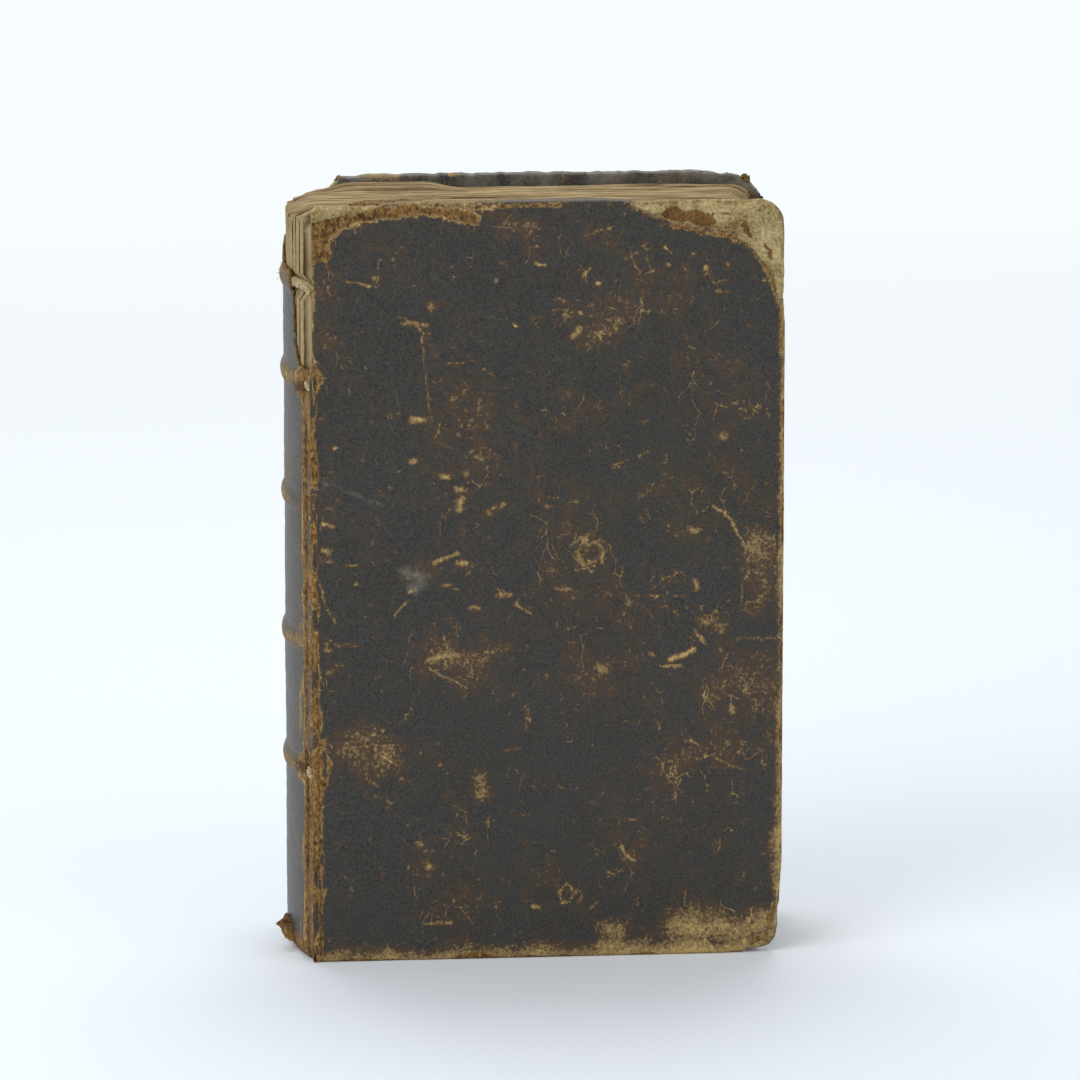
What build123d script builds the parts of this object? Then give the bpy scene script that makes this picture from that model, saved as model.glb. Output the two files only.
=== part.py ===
"""Small antique book bound tight-back in dark calf, standing on its tail edge.

The leaves are sewn on five raised cords. The cord ends (slips) are laced into two
pasteboard covers, and calf is drawn over the rounded spine, the joints and both boards.
The calf of the spine is torn away at the head, so that the folds of the quires show,
and the calf of the front board is worn off three corners.

X runs from the spine to the fore edge, -Y is the front cover, +Z is the head.
The origin is the middle of the book's box, on the surface that it stands on.
All lengths are in millimetres, all angles in degrees.
"""

import os
from math import asin, degrees, radians, sqrt

from build123d import *

os.makedirs("parts", exist_ok=True)

# Covers: pasteboard in calf
cover_height = 164.0
cover_width = 100.0
board_thickness = 2.6
cover_leather = 0.6
turn_in_leather = 0.5
turn_in_width = 14.0
pastedown_paper = 0.25
pastedown_margin = 5.0
front_corner_radius = 6.0
back_corner_radius = 7.5
front_spine_notch_width = 1.0
front_spine_notch_height = 1.2
back_spine_notch_width = 8.0
back_spine_notch_height = 9.0

# Text block: folded quires, rounded at the spine and hollow at the fore edge
text_thickness = 30.5
head_square = 2.4
tail_square = 2.4
fore_square = 4.0
fore_hollow = 2.5
leaf_corner_wear = 3.0
quire_count = 14
fold_groove_depth = 0.5
fold_wear_width = 1.6
fold_wear_height = 2.2

# Spine: how far it rounds out past the joints, and its raised bands
spine_rise = 4.6
band_height = 1.0
band_width = 5.6
band_depth = 2.2
band_fade = 11.0
cord_radius = 1.1
cord_sides = 8
tail_cap_height = 5.0
tail_cap_depth = 1.6
tail_lip_width = 2.6
endband_radius = 0.8
turn_half_angle = 60.0

# Holes worn through two bands near the front joint, where the cord ends show
band_hole_width = 5.0
band_hole_height = 2.6
band_hole_share = -0.80
band_is_worn = (False, True, False, False, True)

# Curled scrap of calf that stands out of the spine above the tail cap
flap_reach = 2.2
flap_root = 1.0
flap_drop = 2.6
flap_height = 7.2
flap_front_angle = 13.0
flap_back_angle = 4.0

# Cord ends laced into the boards: a run on the outside, a hole, a fan on the inside
slip_width = 3.2
slip_depth = 1.4
slip_run = 8.0
slip_hole_radius = 1.2
fan_length = 8.0
fan_width = 6.5
fan_depth = 0.5

# Clearances
leaf_clearance = 0.3
joint_clearance = 0.3
pivot_stand_off = 0.15
glue_line = 0.05
overrun = 2.0

# Heights of the five cords, as shares of the cover's height
band_height_shares = (0.889, 0.766, 0.604, 0.421, 0.254)

# Torn edge of the spine's calf at the head: share of half the spine's thickness from its middle,
# front joint first, and share of the cover's height
spine_tear_shares = (
    (-1.10, 0.790),
    (-0.95, 0.785),
    (-0.74, 0.787),
    (-0.62, 0.815),
    (-0.57, 0.860),
    (-0.50, 0.893),
    (-0.40, 0.908),
    (-0.15, 0.905),
    (0.10, 0.915),
    (0.45, 0.934),
    (0.80, 0.922),
    (1.10, 0.930),
)

# Worn-off calf on the front board, as shares of the cover's width and height
head_spine_loss_shares = ((0.0, 0.974), (0.035, 0.980), (0.070, 0.988), (0.140, 0.9964))
head_fore_loss_shares = (
    (0.655, 0.9964),
    (0.733, 0.979),
    (0.817, 0.970),
    (0.892, 0.962),
    (0.928, 0.946),
    (0.955, 0.926),
    (0.977, 0.899),
    (0.990, 0.867),
    (0.995, 0.855),
)
tail_fore_loss_shares = ((0.915, 0.0036), (0.958, 0.0105), (0.981, 0.037), (0.991, 0.064), (0.995, 0.085))

# Distances from the book's middle plane, from the leaves outwards
pastedown_near = text_thickness / 2 + leaf_clearance
turn_in_near = pastedown_near + pastedown_paper
board_near = turn_in_near + turn_in_leather
board_far = board_near + board_thickness
cover_far = board_far + cover_leather

# Places along X
book_length = flap_reach + spine_rise + joint_clearance + cover_width
hinge_x = flap_reach + spine_rise - book_length / 2
cover_edge_x = hinge_x + joint_clearance
text_fore_x = cover_edge_x + cover_width - fore_square

# The spine's outer face is part of a cylinder through both joints
spine_radius = (cover_far**2 + spine_rise**2) / (2 * spine_rise)
spine_centre_x = hinge_x - spine_rise + spine_radius
fold_radius = spine_radius - cover_leather - glue_line

# The bands and cords curve more tightly, so that they sink in before the joints
band_radius = spine_radius + band_height - band_fade
band_centre_x = spine_centre_x - band_fade
cord_path_radius = band_radius - cover_leather - cord_radius
cord_heights = [cover_height * share for share in band_height_shares]
worn_heights = [height for height, is_worn in zip(cord_heights, band_is_worn) if is_worn]

text_bottom = tail_square
text_top = cover_height - head_square


def layer_plane(side, near, far):
    """Plane on a cover, with local X from its spine edge and local Y up, that is extruded to -Y."""
    depth = -near if side < 0 else far
    return Plane(origin=(cover_edge_x, depth, 0), x_dir=(1, 0, 0), z_dir=(0, -1, 0))


def radial_plane(centre_x, angle):
    """Upright plane with local X out of the spine, turned towards the front cover by the angle."""
    middle = Plane(origin=(centre_x, 0, 0), x_dir=(-1, 0, 0), z_dir=(0, 1, 0))
    return middle.rotated((0, 0, angle))


def spine_axis(centre_x):
    """Vertical axis that turns a profile from the front joint round to the back joint."""
    return Axis((centre_x, 0, 0), (0, 0, -1))


def cover_outline(plane, inset, corner_radius, notch_width, notch_height):
    """Cover seen from the front, with worn fore corners and a cut spine corner at the head."""
    right = cover_width - inset
    top = cover_height - inset
    with BuildSketch(plane) as outline:
        with BuildLine():
            Polyline(
                (0, inset),
                (right, inset),
                (right, top),
                (notch_width, top),
                (0, top - notch_height),
                close=True,
            )
        make_face()
        fillet(outline.vertices().group_by(Axis.X)[-1], corner_radius - inset)
    return outline.sketch


def make_board(side, corner_radius, notch_width, notch_height, slips):
    """Pasteboard with the channels, holes and fan recesses of the laced cord ends."""
    with BuildPart() as board:
        plane = layer_plane(side, board_near, board_far)
        outline = cover_outline(plane, cover_leather, corner_radius, notch_width, notch_height)
        extrude(outline, amount=board_thickness)
        add(slips, mode=Mode.SUBTRACT)
    return board.part


def make_slips(side):
    """Five cord ends: along the board's outer face, through a hole and fanned out inside."""
    with BuildPart() as slips:
        with BuildSketch(layer_plane(side, board_far - slip_depth, board_far)):
            with Locations(*[(slip_run / 2, height) for height in cord_heights]):
                Rectangle(slip_run, slip_width)
        extrude(amount=slip_depth)
        with BuildSketch(layer_plane(side, board_near, board_far)):
            with Locations(*[(slip_run - slip_hole_radius, height) for height in cord_heights]):
                Circle(slip_hole_radius)
        extrude(amount=board_thickness)
        with BuildSketch(layer_plane(side, board_near, board_near + fan_depth)):
            for height in cord_heights:
                with BuildLine():
                    Polyline(
                        (slip_run - slip_hole_radius, height - slip_hole_radius),
                        (slip_run + fan_length, height - fan_width / 2),
                        (slip_run + fan_length, height + fan_width / 2),
                        (slip_run - slip_hole_radius, height + slip_hole_radius),
                        close=True,
                    )
                make_face()
        extrude(amount=fan_depth)
    return slips.part


def make_pastedown(side):
    """Leaf pasted inside a cover, stepped where it rises over the edges of the turned-in calf."""
    with BuildPart() as pastedown:
        with BuildSketch(layer_plane(side, pastedown_near, board_near)):
            with Locations((joint_clearance, pastedown_margin)):
                Rectangle(
                    cover_width - pastedown_margin - joint_clearance,
                    cover_height - 2 * pastedown_margin,
                    align=(Align.MIN, Align.MIN),
                )
        extrude(amount=board_near - pastedown_near)
        with BuildSketch(layer_plane(side, turn_in_near, board_near)):
            Rectangle(cover_width, cover_height, align=(Align.MIN, Align.MIN))
            with Locations((0, turn_in_width)):
                Rectangle(
                    cover_width - turn_in_width,
                    cover_height - 2 * turn_in_width,
                    align=(Align.MIN, Align.MIN),
                    mode=Mode.SUBTRACT,
                )
        extrude(amount=turn_in_leather, mode=Mode.SUBTRACT)
        with BuildSketch(layer_plane(side, pastedown_near, pastedown_near + turn_in_leather)):
            with Locations((-pastedown_paper, turn_in_width + pastedown_paper)):
                Rectangle(
                    cover_width - turn_in_width,
                    cover_height - 2 * turn_in_width - 2 * pastedown_paper,
                    align=(Align.MIN, Align.MIN),
                )
        extrude(amount=turn_in_leather, mode=Mode.SUBTRACT)
    return pastedown.part


def make_cover_leather(side, corner_radius, notch_width, notch_height, losses):
    """Calf over one board: outer face, three edges and the turned-in strips inside."""
    with BuildPart() as leather:
        plane = layer_plane(side, turn_in_near, cover_far)
        outside = cover_outline(plane, 0, corner_radius, notch_width, notch_height)
        extrude(outside, amount=cover_far - turn_in_near)
        plane = layer_plane(side, board_near, board_far)
        inside = cover_outline(plane, cover_leather, corner_radius, notch_width, notch_height)
        extrude(inside, amount=board_thickness, mode=Mode.SUBTRACT)
        with BuildSketch(layer_plane(side, turn_in_near, board_near)):
            with Locations((0, turn_in_width)):
                Rectangle(
                    cover_width - turn_in_width,
                    cover_height - 2 * turn_in_width,
                    align=(Align.MIN, Align.MIN),
                )
        extrude(amount=turn_in_leather, mode=Mode.SUBTRACT)
        for shares, beyond in losses:
            with BuildSketch(layer_plane(side, turn_in_near, cover_far)):
                with BuildLine():
                    Polyline(
                        *[(cover_width * x_share, cover_height * z_share) for x_share, z_share in shares],
                        *beyond,
                        close=True,
                    )
                make_face()
            extrude(amount=cover_far - turn_in_near, mode=Mode.SUBTRACT)
    return leather.part


# Cord ends of both covers
front_slips = make_slips(-1)
front_slips.label = "front_cord_slips"
back_slips = make_slips(1)
back_slips.label = "back_cord_slips"

# Boards
front_board = make_board(
    -1, front_corner_radius, front_spine_notch_width, front_spine_notch_height, front_slips
)
front_board.label = "front_board"
back_board = make_board(1, back_corner_radius, back_spine_notch_width, back_spine_notch_height, back_slips)
back_board.label = "back_board"

# Calf of both covers. Each loss is closed by points outside the cover.
cover_right = cover_width + overrun
cover_top = cover_height + overrun
head_spine_beyond = (
    (cover_width * head_spine_loss_shares[-1][0], cover_top),
    (-overrun, cover_top),
    (-overrun, cover_height * head_spine_loss_shares[0][1]),
)
head_fore_beyond = (
    (cover_right, cover_height * head_fore_loss_shares[-1][1]),
    (cover_right, cover_top),
    (cover_width * head_fore_loss_shares[0][0], cover_top),
)
tail_fore_beyond = (
    (cover_right, cover_height * tail_fore_loss_shares[-1][1]),
    (cover_right, -overrun),
    (cover_width * tail_fore_loss_shares[0][0], -overrun),
)
front_losses = (
    (head_spine_loss_shares, head_spine_beyond),
    (head_fore_loss_shares, head_fore_beyond),
    (tail_fore_loss_shares, tail_fore_beyond),
)
front_leather = make_cover_leather(
    -1, front_corner_radius, front_spine_notch_width, front_spine_notch_height, front_losses
)
front_leather.label = "front_cover_leather"
back_leather = make_cover_leather(
    1, back_corner_radius, back_spine_notch_width, back_spine_notch_height, ()
)
back_leather.label = "back_cover_leather"

# Pastedowns
front_pastedown = make_pastedown(-1)
front_pastedown.label = "front_pastedown"
back_pastedown = make_pastedown(1)
back_pastedown.label = "back_pastedown"

# Text block: one fold for each quire, with grooves for the cords between the folds
text_half_angle = degrees(asin(text_thickness / 2 / fold_radius))
quire_angle = 2 * text_half_angle / quire_count
fold_round = fold_radius * radians(quire_angle) / 2
groove_radius = fold_radius - fold_groove_depth
shoulder_x = spine_centre_x - sqrt(groove_radius**2 - (text_thickness / 2) ** 2)
with BuildPart() as text_block:
    with BuildSketch(Plane.XY.offset(text_bottom)):
        with BuildLine():
            ThreePointArc(
                (shoulder_x, -text_thickness / 2),
                (spine_centre_x - groove_radius, 0),
                (shoulder_x, text_thickness / 2),
            )
            Line((shoulder_x, text_thickness / 2), (text_fore_x, text_thickness / 2))
            ThreePointArc(
                (text_fore_x, text_thickness / 2),
                (text_fore_x - fore_hollow, 0),
                (text_fore_x, -text_thickness / 2),
            )
            Line((text_fore_x, -text_thickness / 2), (shoulder_x, -text_thickness / 2))
        make_face()
        with Locations((spine_centre_x, 0)):
            with PolarLocations(
                fold_radius - fold_round,
                quire_count,
                start_angle=180 - text_half_angle + quire_angle / 2,
                angular_range=2 * text_half_angle - quire_angle,
                endpoint=True,
            ):
                Circle(fold_round)
    extrude(amount=text_top - text_bottom)
    fore_edges = text_block.faces().sort_by(Axis.X)[-1].edges()
    fillet(fore_edges.sort_by(Axis.Z)[-1], leaf_corner_wear)
    # The folds are crushed at the head and taper into the cap at the tail
    with BuildSketch(radial_plane(spine_centre_x, turn_half_angle)):
        with BuildLine():
            Polyline(
                (fold_radius - fold_wear_width, text_top),
                (fold_radius, text_top - fold_wear_height),
                (fold_radius + overrun, text_top - fold_wear_height),
                (fold_radius + overrun, text_top + overrun),
                (fold_radius - fold_wear_width, text_top + overrun),
                close=True,
            )
        make_face()
        with BuildLine():
            Polyline(
                (fold_radius - tail_cap_depth, text_bottom - overrun),
                (fold_radius - tail_cap_depth / 2, text_bottom),
                (fold_radius, tail_cap_height),
                (fold_radius + overrun, tail_cap_height),
                (fold_radius + overrun, text_bottom - overrun),
                close=True,
            )
        make_face()
    revolve(axis=spine_axis(spine_centre_x), revolution_arc=2 * turn_half_angle, mode=Mode.SUBTRACT)
    with BuildSketch(radial_plane(band_centre_x, turn_half_angle)):
        with Locations(*[(cord_path_radius, height) for height in cord_heights]):
            RegularPolygon(cord_radius + glue_line, cord_sides)
    revolve(axis=spine_axis(band_centre_x), revolution_arc=2 * turn_half_angle, mode=Mode.SUBTRACT)
text_block.part.label = "text_block"

# Sewing cords: each follows the band's curve and ends at the two joints
sewing_cords = []
for number, height in enumerate(cord_heights, start=1):
    with BuildPart() as cord:
        with BuildSketch(radial_plane(band_centre_x, turn_half_angle)):
            with Locations((cord_path_radius, height)):
                RegularPolygon(cord_radius, cord_sides)
        revolve(axis=spine_axis(band_centre_x), revolution_arc=2 * turn_half_angle)
        split(bisect_by=Plane.YZ.offset(hinge_x), keep=Keep.BOTTOM)
    cord.part.label = f"sewing_cord_{number}"
    sewing_cords.append(cord.part)

# Tail endband: a cord core that sits between the leaves and the lip of the tail cap
with BuildPart() as tail_endband:
    with BuildSketch(radial_plane(spine_centre_x, turn_half_angle)):
        with Locations((spine_radius - tail_lip_width - cover_leather, text_bottom - endband_radius)):
            Circle(endband_radius)
    revolve(axis=spine_axis(spine_centre_x), revolution_arc=2 * turn_half_angle)
    split(bisect_by=Plane.YZ.offset(shoulder_x), keep=Keep.BOTTOM)
tail_endband.part.label = "tail_endband"

# Spine calf: a shell round the folds, raised over the cords, with a cap turned in at the tail
with BuildPart() as spine_leather:
    with BuildSketch(radial_plane(spine_centre_x, turn_half_angle)):
        with BuildLine():
            Line((0, 0), (spine_radius - tail_cap_depth, 0))
            TangentArc(
                (spine_radius, tail_cap_height),
                (spine_radius - tail_cap_depth, 0),
                tangent=(0, -1),
            )
            Polyline(
                (spine_radius, tail_cap_height),
                (spine_radius, text_top),
                (0, text_top),
                (0, 0),
            )
        make_face()
    revolve(axis=spine_axis(spine_centre_x), revolution_arc=2 * turn_half_angle)
    with BuildSketch(radial_plane(band_centre_x, turn_half_angle)):
        with Locations(*[(band_radius - band_depth, height) for height in cord_heights]):
            Ellipse(band_depth, band_width / 2)
    revolve(axis=spine_axis(band_centre_x), revolution_arc=2 * turn_half_angle)
    # Scrap of calf curled out of the spine above the tail cap
    with BuildSketch(radial_plane(spine_centre_x, flap_front_angle)):
        with BuildLine():
            Polyline(
                (spine_radius - cover_leather, flap_height),
                (spine_radius + flap_reach / 2, flap_height - cover_leather),
                (spine_radius + flap_reach, flap_height - flap_drop + cover_leather),
                (spine_radius + flap_reach, flap_height - flap_drop),
                (spine_radius + flap_reach - cover_leather, flap_height - flap_drop),
                (spine_radius + flap_reach / 2 - cover_leather, flap_height - flap_root - cover_leather),
                (spine_radius - cover_leather, flap_height - flap_root),
                close=True,
            )
        make_face()
    revolve(axis=spine_axis(spine_centre_x), revolution_arc=flap_front_angle + flap_back_angle)
    # Room for the leaves, open above and with a lip left below
    with BuildSketch(radial_plane(spine_centre_x, turn_half_angle)):
        with BuildLine():
            Line((0, cover_leather), (spine_radius - tail_cap_depth - cover_leather, cover_leather))
            TangentArc(
                (spine_radius - cover_leather, tail_cap_height),
                (spine_radius - tail_cap_depth - cover_leather, cover_leather),
                tangent=(0, -1),
            )
            Polyline(
                (spine_radius - cover_leather, tail_cap_height),
                (spine_radius - cover_leather, text_top + overrun),
                (0, text_top + overrun),
                (0, cover_leather),
            )
        make_face()
        Rectangle(
            spine_radius - tail_cap_depth - tail_lip_width,
            2 * cover_leather,
            align=(Align.MIN, Align.CENTER),
        )
    revolve(axis=spine_axis(spine_centre_x), revolution_arc=2 * turn_half_angle, mode=Mode.SUBTRACT)
    with BuildSketch(radial_plane(band_centre_x, turn_half_angle)):
        with Locations(*[(cord_path_radius, height) for height in cord_heights]):
            RegularPolygon(cord_radius + glue_line, cord_sides)
    revolve(axis=spine_axis(band_centre_x), revolution_arc=2 * turn_half_angle, mode=Mode.SUBTRACT)
    split(bisect_by=Plane.YZ.offset(hinge_x), keep=Keep.BOTTOM)
    # Calf lost at the head and worn through over the cord ends
    with BuildSketch(Plane.YZ.offset(hinge_x)):
        with BuildLine():
            Polyline(
                *[(cover_far * y_share, cover_height * z_share) for y_share, z_share in spine_tear_shares],
                (cover_far * spine_tear_shares[-1][0], cover_top),
                (cover_far * spine_tear_shares[0][0], cover_top),
                close=True,
            )
        make_face()
        with Locations(*[(cover_far * band_hole_share, height) for height in worn_heights]):
            Ellipse(band_hole_width / 2, band_hole_height / 2)
    extrude(amount=-(spine_rise + flap_reach + overrun), mode=Mode.SUBTRACT)
spine_leather.part.label = "spine_leather"

pieces = [
    text_block.part,
    *sewing_cords,
    tail_endband.part,
    spine_leather.part,
    front_board,
    front_leather,
    front_pastedown,
    front_slips,
    back_board,
    back_leather,
    back_pastedown,
    back_slips,
]
for piece in pieces:
    export_step(piece, f"parts/{piece.label}.step")

print("hinge X", round(hinge_x, 3), "pivot Y", round(cover_far + pivot_stand_off, 3))
print("spine radius", round(spine_radius, 2), "bands about X", round(band_centre_x, 2))
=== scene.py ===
"""Looks of a small antique book in worn dark calf, standing on its tail edge.

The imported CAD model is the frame. Each visible piece is dressed here: the calf of the covers
and the spine with its tears and scuffs, the pasteboards, the leaves, the cords and the joints.
Lengths are in millimetres until a mesh is made, and places are those of the CAD model.
"""

import functools
import itertools
import math

import bmesh
import bpy
import numpy as np
from mathutils import Matrix, Vector


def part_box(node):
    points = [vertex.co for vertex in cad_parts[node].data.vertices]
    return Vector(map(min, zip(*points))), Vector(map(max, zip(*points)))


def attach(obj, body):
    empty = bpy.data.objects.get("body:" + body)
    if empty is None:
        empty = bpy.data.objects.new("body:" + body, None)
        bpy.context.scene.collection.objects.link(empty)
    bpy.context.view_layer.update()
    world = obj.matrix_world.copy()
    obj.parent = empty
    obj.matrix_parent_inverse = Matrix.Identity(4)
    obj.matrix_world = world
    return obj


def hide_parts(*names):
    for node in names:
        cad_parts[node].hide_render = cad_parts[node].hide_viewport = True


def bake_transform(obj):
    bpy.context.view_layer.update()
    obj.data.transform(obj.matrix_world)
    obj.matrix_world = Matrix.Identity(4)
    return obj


bl_info = {
    "name": "Antique Leather Book",
    "version": (1, 0, 0),
    "blender": (4, 5, 0),
    "location": "3D View > Sidebar > Book",
    "description": "Dresses the CAD model of an antique calf-bound book",
    "category": "Object",
}

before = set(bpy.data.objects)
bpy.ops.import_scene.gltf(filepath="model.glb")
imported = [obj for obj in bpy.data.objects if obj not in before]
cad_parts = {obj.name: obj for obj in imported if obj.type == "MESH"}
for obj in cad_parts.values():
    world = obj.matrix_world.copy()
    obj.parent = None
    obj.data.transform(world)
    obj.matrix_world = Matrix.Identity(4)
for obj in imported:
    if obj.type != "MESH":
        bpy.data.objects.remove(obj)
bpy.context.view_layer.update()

MM = 0.001


def node_box(name):
    """Lowest and highest corner of a CAD node, in millimetres."""
    low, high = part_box(name)
    return np.array(low) / MM, np.array(high) / MM


# Places read from the CAD model
COVER_LOW, COVER_HIGH = node_box("back_cover_leather")
BOARD_LOW, BOARD_HIGH = node_box("back_board")
TEXT_LOW, TEXT_HIGH = node_box("text_block")
SPINE_HIGH = node_box("spine_leather")[1]
COVER_X = COVER_LOW[0]
COVER_WIDTH = COVER_HIGH[0] - COVER_LOW[0]
COVER_HEIGHT = COVER_HIGH[2]
COVER_FAR = COVER_HIGH[1]
TURN_IN_NEAR = COVER_LOW[1]
BOARD_NEAR, BOARD_FAR = BOARD_LOW[1], BOARD_HIGH[1]
TEXT_HALF = TEXT_HIGH[1]
HINGE_X = SPINE_HIGH[0]

# Sizes that the CAD model is built from
SPINE_RISE = 4.6
SPINE_RADIUS = (COVER_FAR**2 + SPINE_RISE**2) / (2 * SPINE_RISE)
SPINE_CENTRE_X = HINGE_X - SPINE_RISE + SPINE_RADIUS
HALF_ANGLE = math.asin(COVER_FAR / SPINE_RADIUS)
SPINE_CALF = 0.6
FOLD_RADIUS = SPINE_RADIUS - SPINE_CALF - 0.05
BAND_FADE = 11.0
BAND_HEIGHT = 1.0
BAND_HALF_WIDTH = 2.8
BAND_DEPTH = 2.2
BAND_RADIUS = SPINE_RADIUS + BAND_HEIGHT - BAND_FADE
BAND_CENTRE_X = SPINE_CENTRE_X - BAND_FADE
CORD_RADIUS = 1.1
CORD_PATH_RADIUS = BAND_RADIUS - SPINE_CALF - CORD_RADIUS
CORD_HEIGHTS = [COVER_HEIGHT * share for share in (0.889, 0.766, 0.604, 0.421, 0.254)]
TURN_IN_WIDTH = 14.0
FRONT_CORNER = 6.0
BACK_CORNER = 7.5
QUIRES = 14
FORE_HOLLOW = 2.5
TAIL_CAP_HEIGHT = 5.0
TAIL_CAP_DEPTH = 1.6
TAIL_LIP_WIDTH = 2.6

# The photograph's camera: a square picture of 1080 pixels
PICTURE = 1080
FOCAL_PIXELS = 7800.0
CAMERA_TURN = math.radians(5.05)
CAMERA_DROP = math.radians(12.0)
CAMERA_DISTANCE = 1650.0
CAMERA_TARGET = np.array([COVER_X + 48.0, -COVER_FAR, 91.4])
TURN_SINE, TURN_COSINE = math.sin(CAMERA_TURN), math.cos(CAMERA_TURN)
DROP_SINE, DROP_COSINE = math.sin(CAMERA_DROP), math.cos(CAMERA_DROP)
LOOK = np.array([TURN_SINE * DROP_COSINE, TURN_COSINE * DROP_COSINE, -DROP_SINE])
LOOK_RIGHT = np.array([TURN_COSINE, -TURN_SINE, 0.0])
LOOK_UP = np.cross(LOOK_RIGHT, LOOK)
CAMERA_PLACE = CAMERA_TARGET - LOOK * CAMERA_DISTANCE
PIXEL = CAMERA_DISTANCE / FOCAL_PIXELS  # width of a pixel at the front cover


def cover_point(u, v):
    """Place on the front cover's outer face that the photograph shows at pixel u, v."""
    ray = LOOK * FOCAL_PIXELS + LOOK_RIGHT * (u - PICTURE / 2) - LOOK_UP * (v - PICTURE / 2)
    place = CAMERA_PLACE + ray * (-COVER_FAR - CAMERA_PLACE[1]) / ray[1]
    return place[0] - COVER_X, place[2]


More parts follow.
